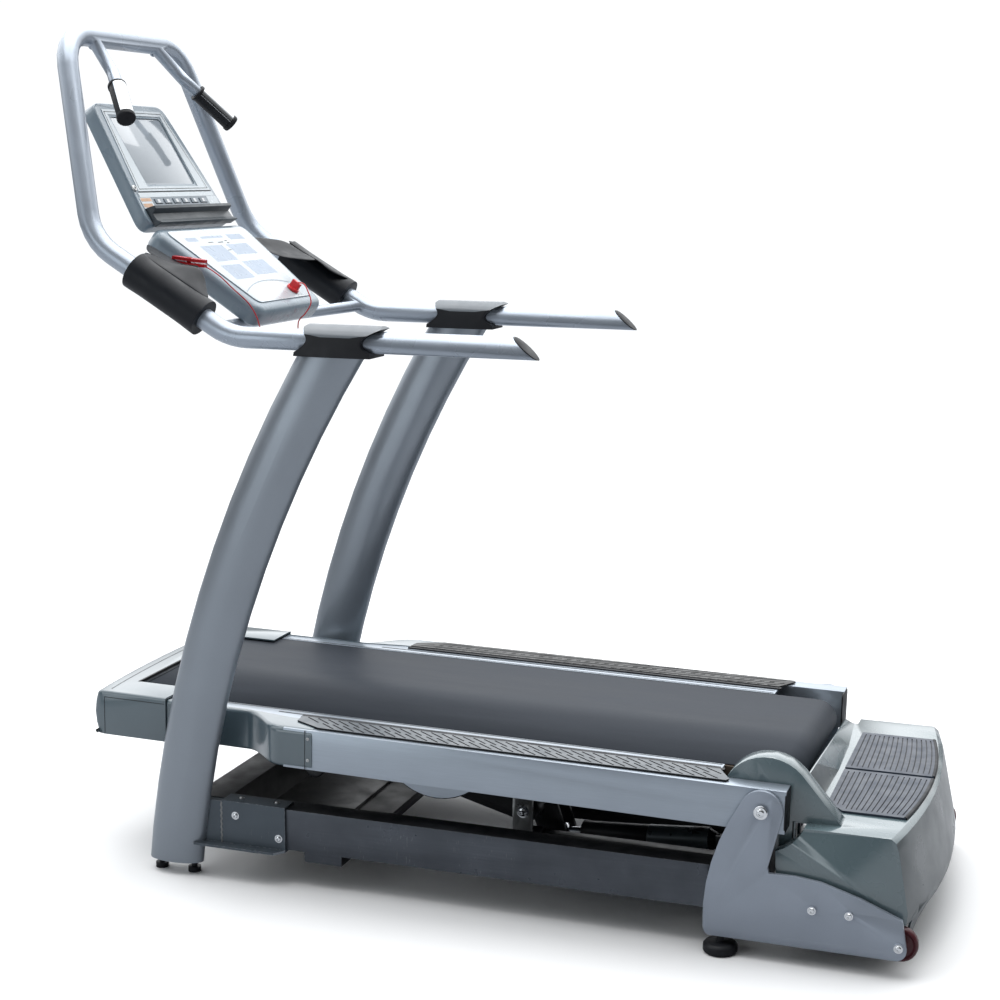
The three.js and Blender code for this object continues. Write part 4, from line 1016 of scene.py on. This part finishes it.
key_low, key_high = extent("safety_key", CONSOLE)
key_x, key_y = (key_low.x + key_high.x) / 2, (key_low.y + key_high.y) / 2
over_nose = [CONSOLE @ Vector(p) for p in (
    (key_x, key_y, key_high.z - 2), (key_x - 3, key_y - 17, 33), (key_x - 9, key_y - 38, 28),
    (key_x - 16, -8, 13), (key_x - 20, -13, -14), (key_x - 26, -12, -40),
)]
cord = curve_through([
    *over_nose, (-28, -572, 1222), (50, -570, 1214), (118, -572, 1218), (160, -570, 1240), (186, -572, 1284),
    (204, -584, 1316), (232, -606, 1348), (244, -632, 1376), (248, -664, 1396), (252, -700, 1403),
], 10)
safety_cord = add("safety_cord", [sweep(cord, 1.5, 8)], "red_plastic", body=None)
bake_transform(safety_cord, "base", NODES["safety_key"]["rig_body"],
         CONSOLE @ Vector((20, -5, -20)) * MM, CONSOLE @ Vector((key_x, 40, 20)) * MM)

clip_start = Vector((248, -748, 1412))
along = (Vector((252, -664, 1404)) - clip_start).normalized()
across = Vector((0, 0, 1)).cross(along).normalized()
clip_where = frame_at(clip_start, along, across, along.cross(across))
jaw = [(0, -9), (66, -12), (84, -7), (88, 0), (84, 7), (66, 12), (0, 9)]
hinge = moved(lathe([(5, -9), (5, 10)], 16), Matrix.Translation((40, 0, 0)))
add("cord_clip", [prism(jaw, 2, 9), prism(jaw, -8, -1), hinge], "red_plastic", "base", clip_where)

# ---------------------------------------------------------------- welds on the handrail

for side_name, side in SIDES:
    ring = [(side * 143 + 17 * math.cos(t), -1004 + 5 * math.sin(t), 1908 + 16 * math.sin(t))
            for t in (2 * math.pi * i / 20 for i in range(21))]
    add(f"handle_weld_{side_name}", [sweep(ring, 3.2, 8)], "silver_paint", "base")

# ---------------------------------------------------------------- floor, light and camera

def area_light(name, place, aim, size, power, color=(1, 1, 1)):
    data = bpy.data.lights.new(name, "AREA")
    data.shape = "RECTANGLE"
    data.size, data.size_y = size
    data.energy = power
    data.color = color
    lamp = bpy.data.objects.new(name, data)
    lamp.location = place
    lamp.rotation_euler = (Vector(aim) - Vector(place)).to_track_quat("-Z", "Y").to_euler()
    bpy.context.scene.collection.objects.link(lamp)


def floor_material():
    """Pale matt floor that throws only a little light back up on the machine."""
    g = Graph(bpy.data.materials.new("floor_paint"))
    clouds = g.noise(2.0, g.coords(), 3.0)
    pale = g.mix(clouds, rgb((0.93, 0.93, 0.93)), rgb((0.95, 0.95, 0.95)))
    seen = g.add("LightPath").outputs["Is Camera Ray"]
    return g.finish(g.mix(seen, rgb((0.42, 0.43, 0.45)), pale), 0.85, 0.0)


area_light("overhead", (-0.4, -0.2, 4.4), (0, 0, 0.6), (4.5, 4.5), 135)
area_light("near_fill", (4.8, -3.0, 1.8), (0, 0, 0.8), (2.6, 2.6), 34, (0.90, 0.96, 1.0))

FLOOR_REACH = 14.0
floor_mesh = bpy.data.meshes.new("floor")
floor_corners = [(x, y, 0) for x, y in ((-1, -1), (1, -1), (1, 1), (-1, 1))]
floor_mesh.from_pydata([Vector(c) * FLOOR_REACH for c in floor_corners], [], [(0, 1, 2, 3)])
floor = bpy.data.objects.new("floor", floor_mesh)
floor.location.z = -0.0005
floor.data.materials.append(floor_material())
bpy.context.scene.collection.objects.link(floor)


GLOW_WAY = (-0.60, -0.38, 0.70)


def studio_world():
    """Bright overhead and behind the machine, dim on the camera's side; the camera sees plain white."""
    g = Graph(bpy.data.worlds.new("studio"))
    direction = g.add("TexCoord").outputs["Generated"]
    toward = g.add("VectorMath", {0: direction, 1: GLOW_WAY}, operation="DOT_PRODUCT").outputs["Value"]
    glow = g.add("MapRange", {0: toward, 1: -0.05, 2: 0.9, 3: 0.13, 4: 2.0}, clamp=True,
                 interpolation_type="SMOOTHSTEP").outputs[0]
    height = g.add("SeparateXYZ", {0: direction}).outputs["Z"]
    above = g.band(height, 0.02, 0.22, 0.05, 1.0)
    seen = g.add("LightPath").outputs["Is Camera Ray"]
    glow = g.math("MULTIPLY", glow, above)
    strength = g.add("Mix", {0: seen, 2: glow, 3: 1.08}, data_type="FLOAT").outputs[0]
    background = g.add("Background", {"Color": (0.96, 0.98, 1.0, 1), "Strength": strength}).outputs[0]
    g.add("OutputWorld", {"Surface": background})
    return g.owner


bpy.context.scene.world = studio_world()
bpy.context.scene.view_settings.view_transform = "Standard"

camera_data = bpy.data.cameras.new("camera")
camera_data.lens = 66.33
camera_data.sensor_width = 36
camera = bpy.data.objects.new("camera", camera_data)
azimuth, elevation, roll = (math.radians(a) for a in (108.92, 10.24, 0.41))
level = math.cos(elevation)
back = Vector((math.sin(azimuth) * level, -math.cos(azimuth) * level, math.sin(elevation)))
right = Vector((0, 0, 1)).cross(back).normalized()
up = back.cross(right)
right, up = (right * math.cos(roll) + up * math.sin(roll), up * math.cos(roll) - right * math.sin(roll))
camera.matrix_world = frame_at((4.0238, 1.3400, 1.6255), right, up, back)
bpy.context.scene.collection.objects.link(camera)
bpy.context.scene.camera = camera

bpy.context.view_layer.update()
